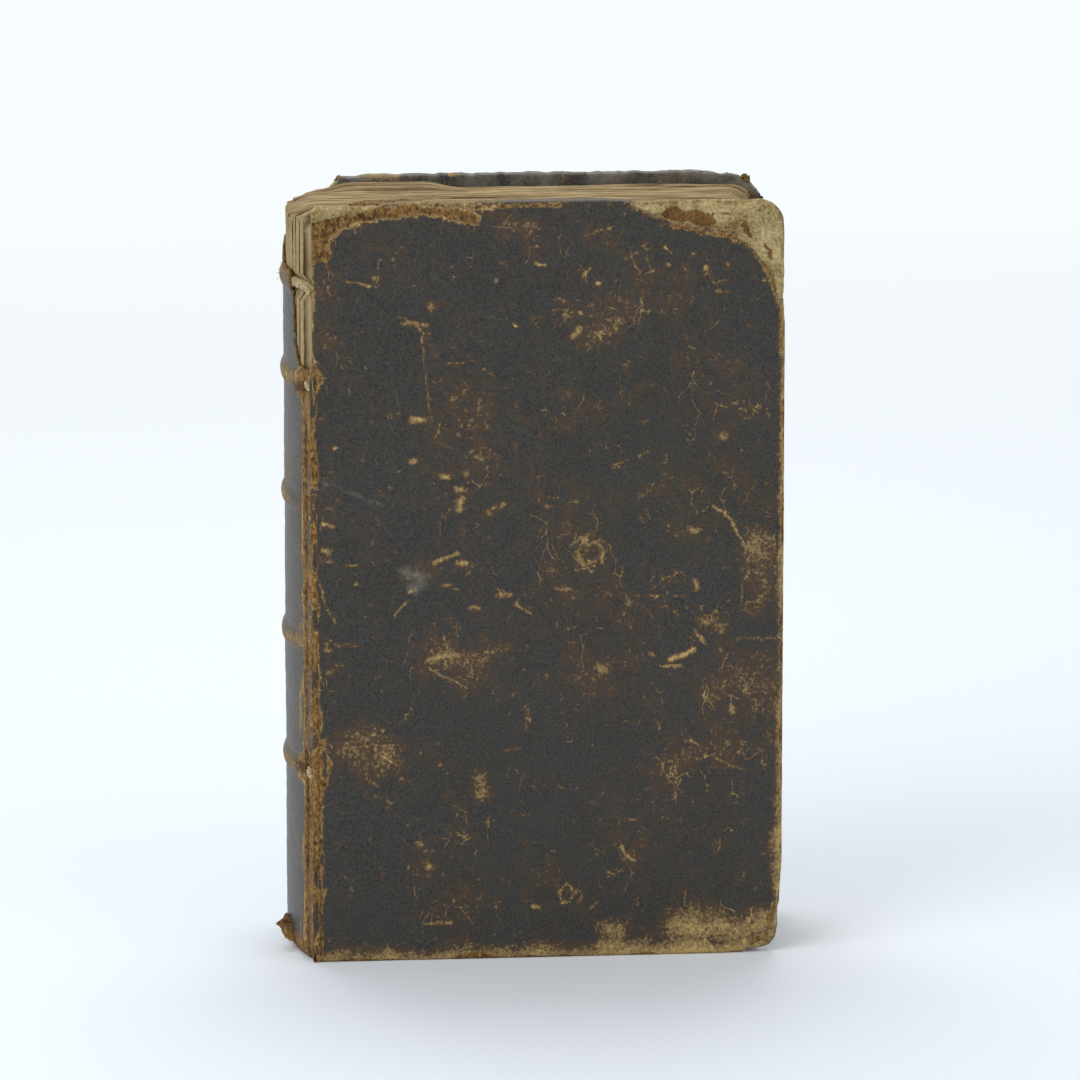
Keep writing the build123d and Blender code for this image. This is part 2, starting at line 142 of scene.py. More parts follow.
# Marks on the front cover, at pixels of the photograph.
# Each is (half width in pixels, strength, points of its line).
CHIPS = (
    (2.0, 1.0, ((346, 282), (358, 283), (371, 286))),
    (1.5, 0.9, ((397, 316), (406, 318))),
    (3.5, 1.1, ((404, 323), (415, 323), (426, 326))),
    (2.0, 0.9, ((415, 326), (423, 333))),
    (1.2, 0.8, ((424, 331), (431, 334), (429, 339), (424, 337))),
    (1.5, 0.8, ((422, 336), (423, 356), (426, 372), (427, 389), (431, 417))),
    (4.5, 1.2, ((412, 420), (421, 420))),
    (1.2, 0.6, ((424, 367), (448, 363), (472, 361))),
    (1.2, 0.6, ((482, 368), (496, 377))),
    (1.2, 0.6, ((516, 403), (530, 406), (545, 411))),
    (1.2, 0.6, ((497, 311), (516, 308))),
    (1.4, 0.9, ((532, 247), (539, 247))),
    (1.6, 0.9, ((535, 264), (547, 265))),
    (3.0, 0.8, ((500, 262), (508, 266))),
    (3.0, 0.9, ((515, 326), (517, 326))),
    (2.5, 0.8, ((583, 237), (596, 231), (610, 228))),
    (2.5, 0.8, ((626, 259), (640, 252))),
    (2.2, 0.8, ((583, 276), (590, 267))),
    (4.0, 1.1, ((573, 337), (579, 329))),
    (1.6, 0.8, ((608, 319), (616, 326), (624, 333))),
    (1.4, 0.7, ((616, 326), (614, 332))),
    (1.8, 1.0, ((716, 291.5), (731, 291.5))),
    (1.6, 0.8, ((767, 409), (770, 417))),
    (1.6, 1.0, ((641, 421), (651, 420))),
    (3.2, 1.0, ((410, 461), (415, 461))),
    (3.6, 1.1, ((442, 476), (448, 477))),
    (4.2, 1.1, ((457, 489), (465, 490))),
    (5.0, 1.1, ((459, 508), (462, 499))),
    (6.0, 0.8, ((490, 512), (497, 509))),
    (3.0, 1.3, ((500, 505), (505, 505))),
    (3.0, 0.9, ((545, 507), (550, 507))),
    (2.4, 0.8, ((554, 498), (559, 498))),
    (1.6, 0.8, ((571, 502), (578, 502))),
    (2.5, 0.9, ((322, 525), (333, 526))),
    (3.5, 0.8, ((322, 550), (331, 552))),
    (3.5, 0.8, ((320, 560), (331, 562))),
    (1.8, 0.8, ((347, 566), (358, 566))),
    (1.8, 0.9, ((318, 581), (322, 593), (326.5, 607.5), (331, 616), (336.5, 623))),
    (2.2, 0.9, ((336, 645), (356, 646))),
    (1.8, 0.8, ((331, 641), (326, 644), (326, 650), (331, 652))),
    (1.8, 0.7, ((358, 613), (364, 618), (370, 616))),
    (2.4, 1.3, ((408, 592), (416, 589))),
    (1.6, 1.0, ((408, 599), (402, 607), (394, 616))),
    (2.4, 1.1, ((434, 563), (445, 558), (457, 554))),
    (3.2, 0.9, ((458, 563), (467, 564))),
    (2.6, 1.1, ((443, 585), (451, 585))),
    (1.4, 0.9, ((451, 587), (460, 591))),
    (3.6, 1.1, ((470, 608), (478, 608))),
    (3.6, 1.0, ((498, 595), (511, 596))),
    (2.2, 0.9, ((514, 603), (530, 613))),
    (4.0, 1.0, ((428, 660), (442, 657), (456, 655))),
    (1.6, 0.9, ((471, 656), (485, 653), (499, 651))),
    (2.0, 0.9, ((429, 669), (448, 678), (467, 688))),
    (1.6, 0.9, ((612, 466), (628, 460))),
    (1.6, 0.9, ((638, 456), (650, 451))),
    (3.0, 1.1, ((692, 531), (698, 531))),
    (2.0, 1.1, ((714, 507), (722, 511), (731, 520), (736, 528), (741, 538), (747, 549))),
    (1.2, 0.6, ((756, 481), (745, 500), (736, 520))),
    (1.4, 0.8, ((757, 539), (775, 539))),
    (1.4, 0.8, ((775, 538), (776, 554), (775, 569))),
    (1.4, 0.8, ((762, 557), (770, 559), (775, 565))),
    (1.4, 0.8, ((754, 571), (765, 574), (775, 578))),
    (1.4, 0.8, ((749, 572), (743, 581), (743, 606))),
    (1.6, 0.9, ((638, 596), (659, 596))),
    (1.6, 0.9, ((673, 596), (686, 596))),
    (1.4, 0.8, ((661, 578), (683, 572))),
    (3.6, 1.2, ((695, 582), (697, 588))),
    (1.6, 0.9, ((557, 589), (570, 590))),
    (2.6, 1.0, ((694, 629), (706, 644))),
    (3.0, 1.5, ((669, 660), (680, 656), (694, 650))),
    (2.0, 1.0, ((661, 666), (683, 666))),
    (2.2, 1.0, ((648, 655), (656, 655))),
    (2.0, 0.9, ((721, 647), (721, 652))),
    (2.2, 0.8, ((571, 643), (579, 643))),
    (1.5, 0.8, ((737, 639), (779, 638))),
    (2.0, 0.8, ((370, 745), (392, 745))),
    (1.6, 0.8, ((366, 779), (379, 787))),
    (2.2, 0.7, ((504, 751), (521, 749))),
    (1.8, 0.6, ((516, 816), (539, 815))),
    (2.4, 0.8, ((626, 820), (636, 820))),
    (3.4, 0.9, ((416, 843), (422, 844))),
    (2.4, 1.3, ((533, 907), (539, 907))),
    (1.8, 0.8, ((425, 923), (450, 923))),
    (3.2, 1.1, ((730, 706), (733, 712))),
    (1.6, 0.9, ((658, 722), (661, 730))),
    (1.8, 0.9, ((685, 742), (691, 740), (697, 745))),
    (1.6, 0.8, ((710, 754), (727, 764), (744, 770))),
    (2.2, 0.8, ((559, 787), (563, 788))),
    (2.6, 0.9, ((621, 848), (627, 857), (634, 861))),
    (2.6, 0.9, ((609, 873), (614, 875))),
    (2.0, 0.9, ((567, 884), (560, 892), (563, 903), (571, 903), (575, 892), (567, 884))),
    (1.6, 0.8, ((576, 888), (583, 896), (577, 903))),
    (1.8, 0.9, ((590, 908), (598, 902))),
    (1.2, 0.7, ((683, 893), (686, 912), (684, 932))),
    (1.2, 0.7, ((690, 896), (694, 926))),
    (1.4, 0.8, ((428, 653), (434, 650))),
    (1.8, 0.8, ((570, 546), (580, 538), (593, 532))),
    (1.8, 0.8, ((601, 539), (611, 548), (613, 559))),
    (2.2, 0.8, ((591, 572), (582, 566), (581, 558))),
    (3.4, 0.9, ((587, 546), (596, 541))),
    (3.0, 0.9, ((603, 552), (602, 563))),
    (2.6, 0.8, ((589, 562), (594, 566))),
)

# Small single specks: (pixel u, pixel v, radius in pixels, strength)
SPECKS = (
    (375, 279, 3, 0.9), (432, 307, 4.5, 1.0), (496, 280, 3, 0.9), (441, 380, 2, 0.8),
    (452, 398, 2, 0.8), (466, 410, 2, 0.8), (458, 435, 2, 0.8), (626, 366, 3, 0.9),
    (764, 280, 2, 1.3), (705, 267, 2, 1.2), (598, 283, 2, 1.2), (581, 313, 2, 1.2),
    (669, 265, 2, 1.1), (665, 248, 2, 1.1), (693, 254, 2, 1.1), (759, 406, 2.5, 0.9),
    (723, 437, 4, 0.9), (711, 383, 2, 0.8), (665, 390, 2, 0.8), (335, 448, 3, 0.9),
    (390, 488, 3, 0.9), (466, 474, 3.5, 0.9), (356, 584, 2, 1.4), (373, 735, 2, 1.3),
    (383, 731, 2, 1.2), (375, 749, 2, 1.2), (429, 866, 3, 0.9), (630, 604, 2.6, 0.9),
    (676, 612, 2.6, 0.9), (687, 607, 2.2, 0.9), (702, 608, 2.6, 0.9), (715, 611, 2.2, 0.9),
    (471, 452, 2, 0.9), (476, 456, 2, 0.9), (480, 459, 2, 0.8), (699, 926, 4, 1.2),
)

# Places where the finish is rubbed to brown or tan: (half width, strength, points), in pixels
RUBBED = (
    (15, 0.55, ((510, 224), (528, 224))),
    (18, 0.40, ((590, 232), (630, 255), (640, 300), (610, 330), (585, 335))),
    (16, 0.42, ((586, 551), (598, 551))),
    (13, 0.50, ((408, 576), (428, 576))),
    (24, 0.48, ((440, 662), (485, 660), (470, 683))),
    (18, 0.72, ((756, 545), (764, 575), (758, 605))),
    (9, 0.70, ((603, 669), (601, 669))),
    (12, 0.58, ((701, 622), (722, 624))),
    (40, 0.42, ((720, 682), (760, 690), (770, 740))),
    (24, 0.36, ((668, 758), (712, 758))),
    (24, 0.46, ((350, 745), (372, 772), (385, 755))),
    (11, 1.15, ((480, 779), (483, 793))),
    (19, 0.88, ((678, 925), (716, 924), (746, 930), (764, 922))),
    (12, 0.62, ((606, 930), (622, 931))),
    (40, 0.16, ((430, 400), (480, 440), (560, 520), (620, 580))),
    (60, 0.16, ((600, 640), (700, 720), (640, 820))),
    (50, 0.10, ((660, 300), (720, 420), (700, 520))),
)

# Grey-blue bloom on the finish
HAZE = (
    (3.5, 0.50, ((322, 483), (345, 490), (366, 500), (383, 505))),
    (9, 0.75, ((406, 573), (424, 577), (414, 588))),
    (5, 0.30, ((612, 470), (630, 476))),
    (4, 0.25, ((486, 438), (500, 444))),
)

# Calf that is torn to suede along the head of the front cover
SUEDE = (
    (12, 1.2, ((312, 232), (330, 226), (345, 220))),
    (7, 1.15, ((345, 221), (380, 214), (420, 210), (452, 214), (474, 218))),
    (4, 1.1, ((300, 262), (308, 252), (322, 240))),
    (3, 0.8, ((476, 208), (520, 206), (560, 205))),
    (3, 0.9, ((672, 226), (700, 231), (733, 237))),
    (4, 1.0, ((762, 262), (772, 275), (777, 292))),
    (4, 1.0, ((774, 905), (768, 932), (752, 944))),
)

# Brown calf that still clings to the bare pasteboard at the fore corner of the head
CLINGING_CALF = (
    (7, 1.3, ((672, 214), (690, 217), (712, 221))),
    (3, 0.7, ((716, 212), (734, 214))),
    (4, 0.8, ((748, 226), (754, 236))),
    (3, 0.7, ((769, 246), (775, 262))),
    (3, 0.8, ((774, 912), (768, 930))),
)

# Left edge of the front cover's dark finish, where raw calf shows beside the joint
FINISH_EDGE = (
    (308, 200), (330, 236), (330, 260), (314, 264), (312, 289), (310, 336), (312, 356), (320, 376),
    (320, 389), (315, 396), (312, 422), (312, 449), (316.6, 487), (315, 520), (316.6, 565),
    (317, 640), (318.8, 700), (324, 750), (332, 765), (324, 790), (322, 830), (322, 879),
    (323, 923), (327, 945), (327, 975),
)

# Outlines of calf that is gone from the front cover, ended outside the cover
LOST_HEAD_SPINE = (
    (300, 222), (314, 222), (316.6, 221.5), (332, 218.5), (350, 213), (376, 207.4), (379, 203.6),
    (379, 180), (300, 180),
)
LOST_HEAD_FORE = (
    (632, 180), (633, 205.5), (646, 211.6), (666, 218), (689, 224), (716, 227), (735.7, 229),
    (738, 235), (734, 238), (744, 241), (752, 246), (762, 261), (772, 273), (777, 283), (779, 298),
    (800, 300), (800, 180),
)
LOST_TAIL_FORE = (
    (792, 890), (779.5, 893), (777, 908), (772, 925), (767, 937.5), (757, 944), (747, 948), (745, 975),
    (800, 975),
)

# Middle of the knot-shaped scab
KNOT = (590, 551)

# Corner of the back cover that is broken off, in millimetres along the cover and up
BROKEN_CORNER = ((-2.0, 154.6), (0.0, 155.0), (3.4, 158.4), (8.6, 164.2), (8.8, 166.0), (-2.0, 166.0))


def path_on_cover(points):
    """A line of photograph pixels as an array of places on the front cover."""
    return np.array([cover_point(u, v) for u, v in points])


def line_distance(x, z, path):
    """Distance of each place from a line of points."""
    nearest = np.full(np.shape(x), 1e9)
    for (ax, az), (bx, bz) in zip(path[:-1], path[1:]):
        length = max((bx - ax) ** 2 + (bz - az) ** 2, 1e-9)
        along = np.clip(((x - ax) * (bx - ax) + (z - az) * (bz - az)) / length, 0, 1)
        off = np.hypot(x - ax - along * (bx - ax), z - az - along * (bz - az))
        nearest = np.minimum(nearest, off)
    return nearest


def outline_distance(x, z, outline):
    """Distance outside a closed outline, negative inside it."""
    closed = np.vstack([outline, outline[:1]])
    inside = np.zeros(np.shape(x), bool)
    for (ax, az), (bx, bz) in zip(closed[:-1], closed[1:]):
        if az == bz:
            continue
        inside ^= ((az > z) != (bz > z)) & (x < (bx - ax) * (z - az) / (bz - az) + ax)
    return np.where(inside, -1, 1) * line_distance(x, z, closed)


def ripple(places, size, seed, octaves=3):
    """Smooth random values of about -1 to 1 at places, with features of a size that halves."""
    places = np.asarray(places, float)
    total, weight, spread = 0.0, 1.0, 0.0
    for octave in range(octaves):
        at = places / size + 13.7 * (seed + octave)
        cell = np.floor(at)
        part = at - cell
        part = part * part * (3 - 2 * part)
        value = 0.0
        for corner in itertools.product((0, 1), repeat=places.shape[-1]):
            spot = cell + corner
            mixed = np.sin(spot @ np.array([127.1, 311.7, 74.7])[: places.shape[-1]] + 7.3 * seed)
            mixed = mixed * 43758.5453
            share = np.prod(np.where(corner, part, 1 - part), axis=-1)
            value = value + share * (2 * (mixed - np.floor(mixed)) - 1)
        total = total + weight * value
        spread += weight
        weight *= 0.55
        size = size / 2
    return total / spread * 1.5


def smooth_step(value, low, high):
    """0 below low, 1 above high and smooth between."""
    share = np.clip((value - low) / (high - low), 0, 1)
    return share * share * (3 - 2 * share)


def mark_field(x, z, marks):
    """Strength of the strongest mark at each place, from its line outwards to nothing."""
    field = np.zeros(np.shape(x))
    places = np.stack([x, z], 1)
    x, z = x + 0.30 * ripple(places, 1.5, 141, 3), z + 0.30 * ripple(places, 1.5, 142, 3)
    for half_width, strength, points in marks:
        path = path_on_cover(points)
        reach = half_width * PIXEL
        low, high = path.min(axis=0) - 2 * reach, path.max(axis=0) + 2 * reach
        near = (x > low[0]) & (x < high[0]) & (z > low[1]) & (z < high[1])
        if near.any():
            fade = strength * (1 - line_distance(x[near], z[near], path) / (1.45 * reach))
            field[near] = np.maximum(field[near], fade)
    return field


# Meshes


def make_piece(name, places, faces, fields=None):
    """A mesh object from places in millimetres, with a number for each place in each field."""
    mesh = bpy.data.meshes.new(name)
    mesh.from_pydata((np.asarray(places) * MM).tolist(), [], faces)
    for field, values in (fields or {}).items():
        attribute = mesh.attributes.new(field, "FLOAT", "POINT")
        attribute.data.foreach_set("value", np.asarray(values, np.float32))
    mesh.polygons.foreach_set("use_smooth", [True] * len(mesh.polygons))
    mesh.validate()
    piece = bpy.data.objects.new(name, mesh)
    bpy.context.scene.collection.objects.link(piece)
    return piece


def close_shell(piece):
    """Turns all faces of a closed mesh outwards."""
    shell = bmesh.new()
    shell.from_mesh(piece.data)
    bmesh.ops.recalc_face_normals(shell, faces=shell.faces[:])
    shell.to_mesh(piece.data)
    shell.free()


def dress(piece, material, body, slot, *nodes):
    """Gives a piece its material and body, and lets it stand for CAD nodes. The slot is not used."""
    piece.data.materials.clear()
    piece.data.materials.append(material)
    if body:
        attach(piece, body)
    if nodes:
        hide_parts(*nodes)


def grid_faces(rows, columns, start=0):
    """Four-sided faces of a grid of places that is stored row by row."""
    first = start + np.arange((rows - 1) * columns).reshape(rows - 1, columns)[:, :-1].ravel()
    return np.stack([first, first + 1, first + columns + 1, first + columns], axis=1)


def free_edges(faces):
    """Edges that only one face uses, in that face's direction."""
    edges = np.concatenate([np.stack([faces[:, k], faces[:, (k + 1) % 4]], 1) for k in range(4)])
    keys = np.sort(edges, axis=1)
    _, first, count = np.unique(keys, axis=0, return_index=True, return_counts=True)
    return edges[first[count == 1]]


def closed_sheet(name, faces, outer, inner, fields, hidden):
    """A closed shell between an outer and an inner sheet that share their faces. The hidden side
    takes its values from hidden, or 0."""
    count = len(outer)
    rim = free_edges(faces)
    sides = np.stack([rim[:, 1], rim[:, 0], rim[:, 0] + count, rim[:, 1] + count], 1)
    faces = np.concatenate([faces, faces[:, ::-1] + count, sides])
    used, faces = np.unique(faces, return_inverse=True)
    fields = {
        field: np.concatenate([values, np.broadcast_to(hidden.get(field, 0.0), count)])[used]
        for field, values in fields.items()
    }
    piece = make_piece(name, np.concatenate([outer, inner])[used], faces.reshape(-1, 4).tolist(), fields)
    close_shell(piece)
    return piece


def box_shell(counts):
    """Places, as shares of a box, and faces of a closed shell of grids on its six sides."""
    numbers, shares, faces = {}, [], []

    def number(key):
        if key not in numbers:
            numbers[key] = len(shares)
            shares.append([key[axis] / counts[axis] for axis in range(3)])
        return numbers[key]

    for axis in range(3):
        across, along = [other for other in range(3) if other != axis]
        for side in (0, counts[axis]):
            for i in range(counts[across]):
                for j in range(counts[along]):
                    quad = []
                    for di, dj in ((0, 0), (1, 0), (1, 1), (0, 1)):
                        key = [0, 0, 0]
                        key[axis], key[across], key[along] = side, i + di, j + dj
                        quad.append(number(tuple(key)))
                    flip = (side == 0) != (axis == 1)
                    faces.append(quad[::-1] if flip else quad)
    return np.array(shares), faces


# Materials


def linear(hex_colour):
    """Linear colour of an sRGB hex value."""
    parts = [int(hex_colour.lstrip("#")[k : k + 2], 16) / 255 for k in (0, 2, 4)]
    return [part / 12.92 if part <= 0.04045 else ((part + 0.055) / 1.055) ** 2.4 for part in parts] + [1.0]


def add(tree, kind, inputs=None, **settings):
    """Adds a node with its settings. Inputs are values, or outputs that are linked to them."""
    node = tree.nodes.new(kind)
    for name, value in settings.items():
        setattr(node, name, value)
    for name, value in (inputs or {}).items():
        if isinstance(value, bpy.types.Node):
            value = value.outputs[0]
        if isinstance(value, bpy.types.NodeSocket):
            tree.links.new(value, node.inputs[name])
        else:
            node.inputs[name].default_value = value
    return node


def per_mm(size):
    """Noise scale whose features measure that many millimetres, on Object coordinates in metres."""
    return 1 / (size * MM)


def noise(tree, place, size, detail, roughness=0.5):
    """Noise with features of that many millimetres."""
    inputs = {"Vector": place, "Scale": per_mm(size), "Detail": detail, "Roughness": roughness}
    return add(tree, "ShaderNodeTexNoise", inputs).outputs[0]


def slope(tree, value, low, high, start=0.0, end=1.0):
    """Start up to the low value, end from the high value on, and straight between."""
    inputs = {"Value": value, "From Min": low, "From Max": high, "To Min": start, "To Max": end}
    return add(tree, "ShaderNodeMapRange", inputs, clamp=True).outputs[0]


def maths(tree, operation, *values):
    """Reckons with numbers and outputs."""
    return add(tree, "ShaderNodeMath", dict(enumerate(values)), operation=operation).outputs[0]


def weigh(tree, value, weight, other):
    """A value times its weight, added to the other value."""
    return maths(tree, "MULTIPLY_ADD", value, weight, other)


def mix(tree, share, first, second):
    """Mixes two colours, each a hex value or an output."""
    first, second = (linear(part) if isinstance(part, str) else part for part in (first, second))
    inputs = {"Factor": share, "A": first, "B": second}
    return add(tree, "ShaderNodeMix", inputs, data_type="RGBA").outputs["Result"]


def stretched(tree, place, scale, turn=(0.0, 0.0, 0.0)):
    """Coordinates turned and scaled along each axis."""
    return add(tree, "ShaderNodeMapping", {"Vector": place, "Rotation": turn, "Scale": scale}).outputs[0]


def new_material(name):
    """An empty node material, its tree and its Object coordinates."""
    material = bpy.data.materials.new(name)
    material.use_nodes = True
    tree = material.node_tree
    tree.nodes.clear()
    return material, tree, add(tree, "ShaderNodeTexCoord").outputs["Object"]


def mesh_values(tree, *fields):
    """Outputs of the numbers that the mesh carries in its fields."""
    return [add(tree, "ShaderNodeAttribute", attribute_name=field).outputs["Fac"] for field in fields]


def finish_material(tree, colour, roughness, height, strength, depth, ior=1.45, specular=0.25, sheen=0.0):
    """Ends a material with its shader, whose bumps are that many millimetres deep. Rough, matt
    fibre and paper have the refraction and the specular level that are given here."""
    bump = add(tree, "ShaderNodeBump", {"Strength": strength, "Distance": depth * MM, "Height": height})
    inputs = {"Base Color": colour, "Roughness": roughness, "Normal": bump}
    inputs |= {"IOR": ior, "Specular IOR Level": specular, "Sheen Weight": sheen}
    shader = add(tree, "ShaderNodeBsdfPrincipled", inputs)
    add(tree, "ShaderNodeOutputMaterial", {"Surface": shader})


# Nets of hairline scratches: (cell in mm, line width as a share of it, noise above which it shows)
SCRATCH_NETS = ((7.0, 0.015, 0.60), (3.2, 0.040, 0.58), (1.7, 0.06, 0.62))


def scratches(tree, place):
    """Hairline scratches about 0.2 mm wide in nets of which only parts show, and pinpoint chips."""
    bent = add(tree, "ShaderNodeTexNoise", {"Vector": place, "Scale": per_mm(4), "Detail": 1.0})
    bend = add(tree, "ShaderNodeVectorMath", {0: bent.outputs["Color"], "Scale": 3.0 * MM}, operation="SCALE")
    bent_place = add(tree, "ShaderNodeVectorMath", {0: place, 1: bend}, operation="ADD").outputs[0]
    turned = stretched(tree, bent_place, (1.0, 1.0, 0.45), (0.0, 0.35, 0.0))
    marks = []
    for vector, (size, width, share) in zip((bent_place, turned, place), SCRATCH_NETS):
        inputs = {"Vector": vector, "Scale": per_mm(size)}
        net = add(tree, "ShaderNodeTexVoronoi", inputs, feature="DISTANCE_TO_EDGE").outputs["Distance"]
        line = slope(tree, net, 0.0, width, 1.0, 0.0)
        some = slope(tree, noise(tree, vector, size * 1.3, 1.0), share, share + 0.06)
        marks.append(maths(tree, "MULTIPLY", line, some))
    # Pinpoint chips 0.3 mm across, in two cells out of five
    dots = add(tree, "ShaderNodeTexVoronoi", {"Vector": place, "Scale": per_mm(2.4)})
    pick = add(tree, "ShaderNodeSeparateColor", {"Color": dots.outputs["Color"]}).outputs[0]
    few = maths(tree, "GREATER_THAN", pick, 0.62)
    dot = slope(tree, dots.outputs["Distance"], 0.0, 0.11, 1.0, 0.0)
    marks.append(maths(tree, "MULTIPLY", dot, few))
    return functools.reduce(lambda one, other: maths(tree, "MAXIMUM", one, other), marks)


def calf_material(name, dark, bluish, brown, tan, bright, raw_light, raw_dark, grain, polish):
    """Vegetable-tanned calf, stained dark and burnished. It is close-grained, smooth and a little
    glossy. Where it is rubbed the stain turns brown, then tan, and torn calf is fibrous suede.

    The mesh carries worn (rubbed off stain), raw (torn to suede), haze (grey bloom, and painted sheen along
    the back cover's head edge) and soil (grime on raw calf, and painted shade in the spine's trough and in
    cracks)."""
    material, tree, place = new_material(name)
    worn, raw, haze, soil = mesh_values(tree, "worn", "raw", "haze", "soil")

    # Stain: broad clouds about 22 mm across and mottles of 3 mm
    clouds = noise(tree, place, 22, 3.0, 0.6)
    mottles = noise(tree, place, 3.2, 4.0, 0.65)
    cloudy = mix(tree, slope(tree, clouds, 0.38, 0.62), dark, bluish)
    # Fibres and crumbs about 0.5 mm wide break up the edges of every mark
    crumbs = noise(tree, place, 0.8, 3.0, 0.7)
    fine = noise(tree, place, 0.45, 2.0, 0.6)
    grit = noise(tree, place, 0.55, 2.0)
    # Pores hold darker stain, drawn 0.4 mm wide so that they show
    stain = mix(tree, slope(tree, fine, 0.32, 0.60, 0.70, 0.0), cloudy, "#1d1b19")

    worn = weigh(tree, scratches(tree, place), 0.62, worn)
    # Zones about 12 mm across where tan grit shows through the stain
    zone = slope(tree, noise(tree, place, 12, 3.0, 0.65), 0.42, 0.72, 0.0, 0.42)
    worn = maths(tree, "ADD", worn, zone)
    # Rubbed brown where the mottles and the wear add up
    rubbed = weigh(tree, crumbs, 0.8, maths(tree, "ADD", mottles, worn))
    browned = mix(tree, slope(tree, rubbed, 1.03, 1.60), stain, brown)
    # Chips of tan where the stain is gone
    chipped = weigh(tree, crumbs, 1.1, weigh(tree, grit, 1.3, worn))
    chips = slope(tree, chipped, 1.78, 2.10)
    tanned = mix(tree, chips, browned, tan)
    bared = mix(tree, slope(tree, weigh(tree, fine, 0.8, chipped), 2.62, 3.00), tanned, bright)
    # Grey bloom, and the painted sheen along the back cover's head edge
    bloom_and_sheen = slope(tree, weigh(tree, crumbs, 1.2, haze), 0.82, 1.5, 0.0, 0.62)
    with_bloom_and_sheen = mix(tree, bloom_and_sheen, bared, "#79766c")
    # Suede with fibres 0.25 mm wide that run up the book
    fibres = noise(tree, stretched(tree, place, (1.0, 1.0, 0.65)), 0.7, 4.0, 0.75)
    suede = mix(tree, slope(tree, fibres, 0.36, 0.64), raw_dark, raw_light)
    torn = slope(tree, weigh(tree, crumbs, 1.3, raw), 1.0, 1.25)
    # Darker brown where the calf is grimy, and as painted shade in the spine's trough and in cracks
    colour = mix(tree, soil, mix(tree, torn, with_bloom_and_sheen, suede), "#27180d")

    bare = maths(tree, "MAXIMUM", chips, torn)
    roughness = slope(tree, bare, 0.0, 1.0, 0.50 - 0.14 * polish, 0.90)
    # Grain: pebbles as fine as calf's, drawn 0.7 mm wide so that they show
    pebbles = add(tree, "ShaderNodeTexVoronoi", {"Vector": place, "Scale": per_mm(0.75)})
    relief = weigh(tree, pebbles.outputs["Distance"], 0.6, crumbs)
    pits = weigh(tree, torn, -1.1, relief)
    height = weigh(tree, maths(tree, "MULTIPLY", fibres, torn), 2.2, pits)
    finish_material(tree, colour, roughness, height, 0.8, grain, ior=1.5, specular=0.24 + 0.26 * polish)
    return material


def pasteboard_material(light, dark, dirt_and_shade):
    """Pasteboard: sheets of waste paper pasted and pressed, then worn to crumbly grey-tan pulp
    with a rough, matt surface. The mesh carries skin, where a brown layer of calf still clings."""
    material, tree, place = new_material("worn pasteboard")
    (skin,) = mesh_values(tree, "skin")
    # Crumbs of pulp, with layers 0.5 mm thick along the board's edges
    layers = noise(tree, stretched(tree, place, (0.1, 1.0, 0.1)), 0.5, 3.0)
    height = weigh(tree, layers, 0.5, noise(tree, place, 0.7, 5.0, 0.75))
    pulp = slope(tree, height, 0.58, 0.92)
    stains = slope(tree, noise(tree, place, 5, 5.0, 0.6), 0.55, 0.75)
    soiled = mix(tree, stains, mix(tree, pulp, dark, light), dirt_and_shade)
    torn = slope(tree, weigh(tree, noise(tree, place, 2.5, 5.0, 0.7), 2.4, skin), 1.55, 1.68)
    colour = mix(tree, torn, soiled, mix(tree, pulp, "#4a3219", "#82633a"))
    finish_material(tree, colour, 0.93, height, 0.9, 0.35)
    return material


def leaves_material(page, edge_light, edge_dark, fold_light, fold_dark):
    """Laid rag paper, hand made and gelatine sized. The pages are cream and foxed, the cut edges
    are browned with dust between the leaves, and the folds are tanned by old glue.

    The mesh carries leaf (the number of the leaf), cut (a trimmed edge), fold (the spine), groove (between
    two quires, where painted shade darkens the folds) and slit (where the leaves gape, darkened as painted
    shade)."""
    material, tree, place = new_material("aged rag paper")
    leaf, cut, fold, groove, slit = mesh_values(tree, "leaf", "cut", "fold", "groove", "slit")
    # One line for each leaf, 0.15 mm thick, that fades and returns along the edge
    along = add(tree, "ShaderNodeSeparateXYZ", {"Vector": place}).outputs
    slow = {axis: maths(tree, "MULTIPLY", along[source], 60.0) for axis, source in (("Y", "X"), ("Z", "Z"))}
    line_at = add(tree, "ShaderNodeCombineXYZ", {"X": leaf, **slow})
    inputs = {"Vector": line_at, "Scale": 1.0, "Detail": 3.0, "Roughness": 0.7}
    # Painted shade: the lines are darker where the leaves gape
    lines = weigh(tree, slit, -0.32, add(tree, "ShaderNodeTexNoise", inputs))
    edge = mix(tree, slope(tree, lines, 0.41, 0.59), edge_dark, edge_light)
    foxed = mix(tree, slope(tree, noise(tree, place, 4, 5.0, 0.65), 0.60, 0.80), page, "#a3824f")
    dusty = mix(tree, slope(tree, noise(tree, place, 9, 4.0), 0.35, 0.75, 0.0, 0.45), edge, "#8d7a58")
    # Folds: thread-thin pale stripes and crumbled glue 0.6 mm across, with the hollows between the quires
    # darkened as painted shade
    crumbs = noise(tree, place, 0.8, 5.0, 0.7)
    folds = mix(tree, slope(tree, weigh(tree, crumbs, 0.9, groove), 0.30, 0.95), fold_light, fold_dark)
    colour = mix(tree, fold, mix(tree, cut, foxed, dusty), folds)
    height = weigh(tree, crumbs, 0.5, maths(tree, "MULTIPLY", lines, cut))
    finish_material(tree, colour, 0.9, height, 0.7, 0.12)
    return material


def cord_material(name, light, dark):
    """Hemp cord or linen thread: dull bast fibre, straw coloured, with dirt between the strands."""
    material, tree, place = new_material(name)
    fibres = noise(tree, place, 0.5, 4.0, 0.7)
    colour = mix(tree, slope(tree, fibres, 0.35, 0.65), dark, light)
    finish_material(tree, colour, 0.92, fibres, 0.6, 0.1, sheen=0.15)
    return material


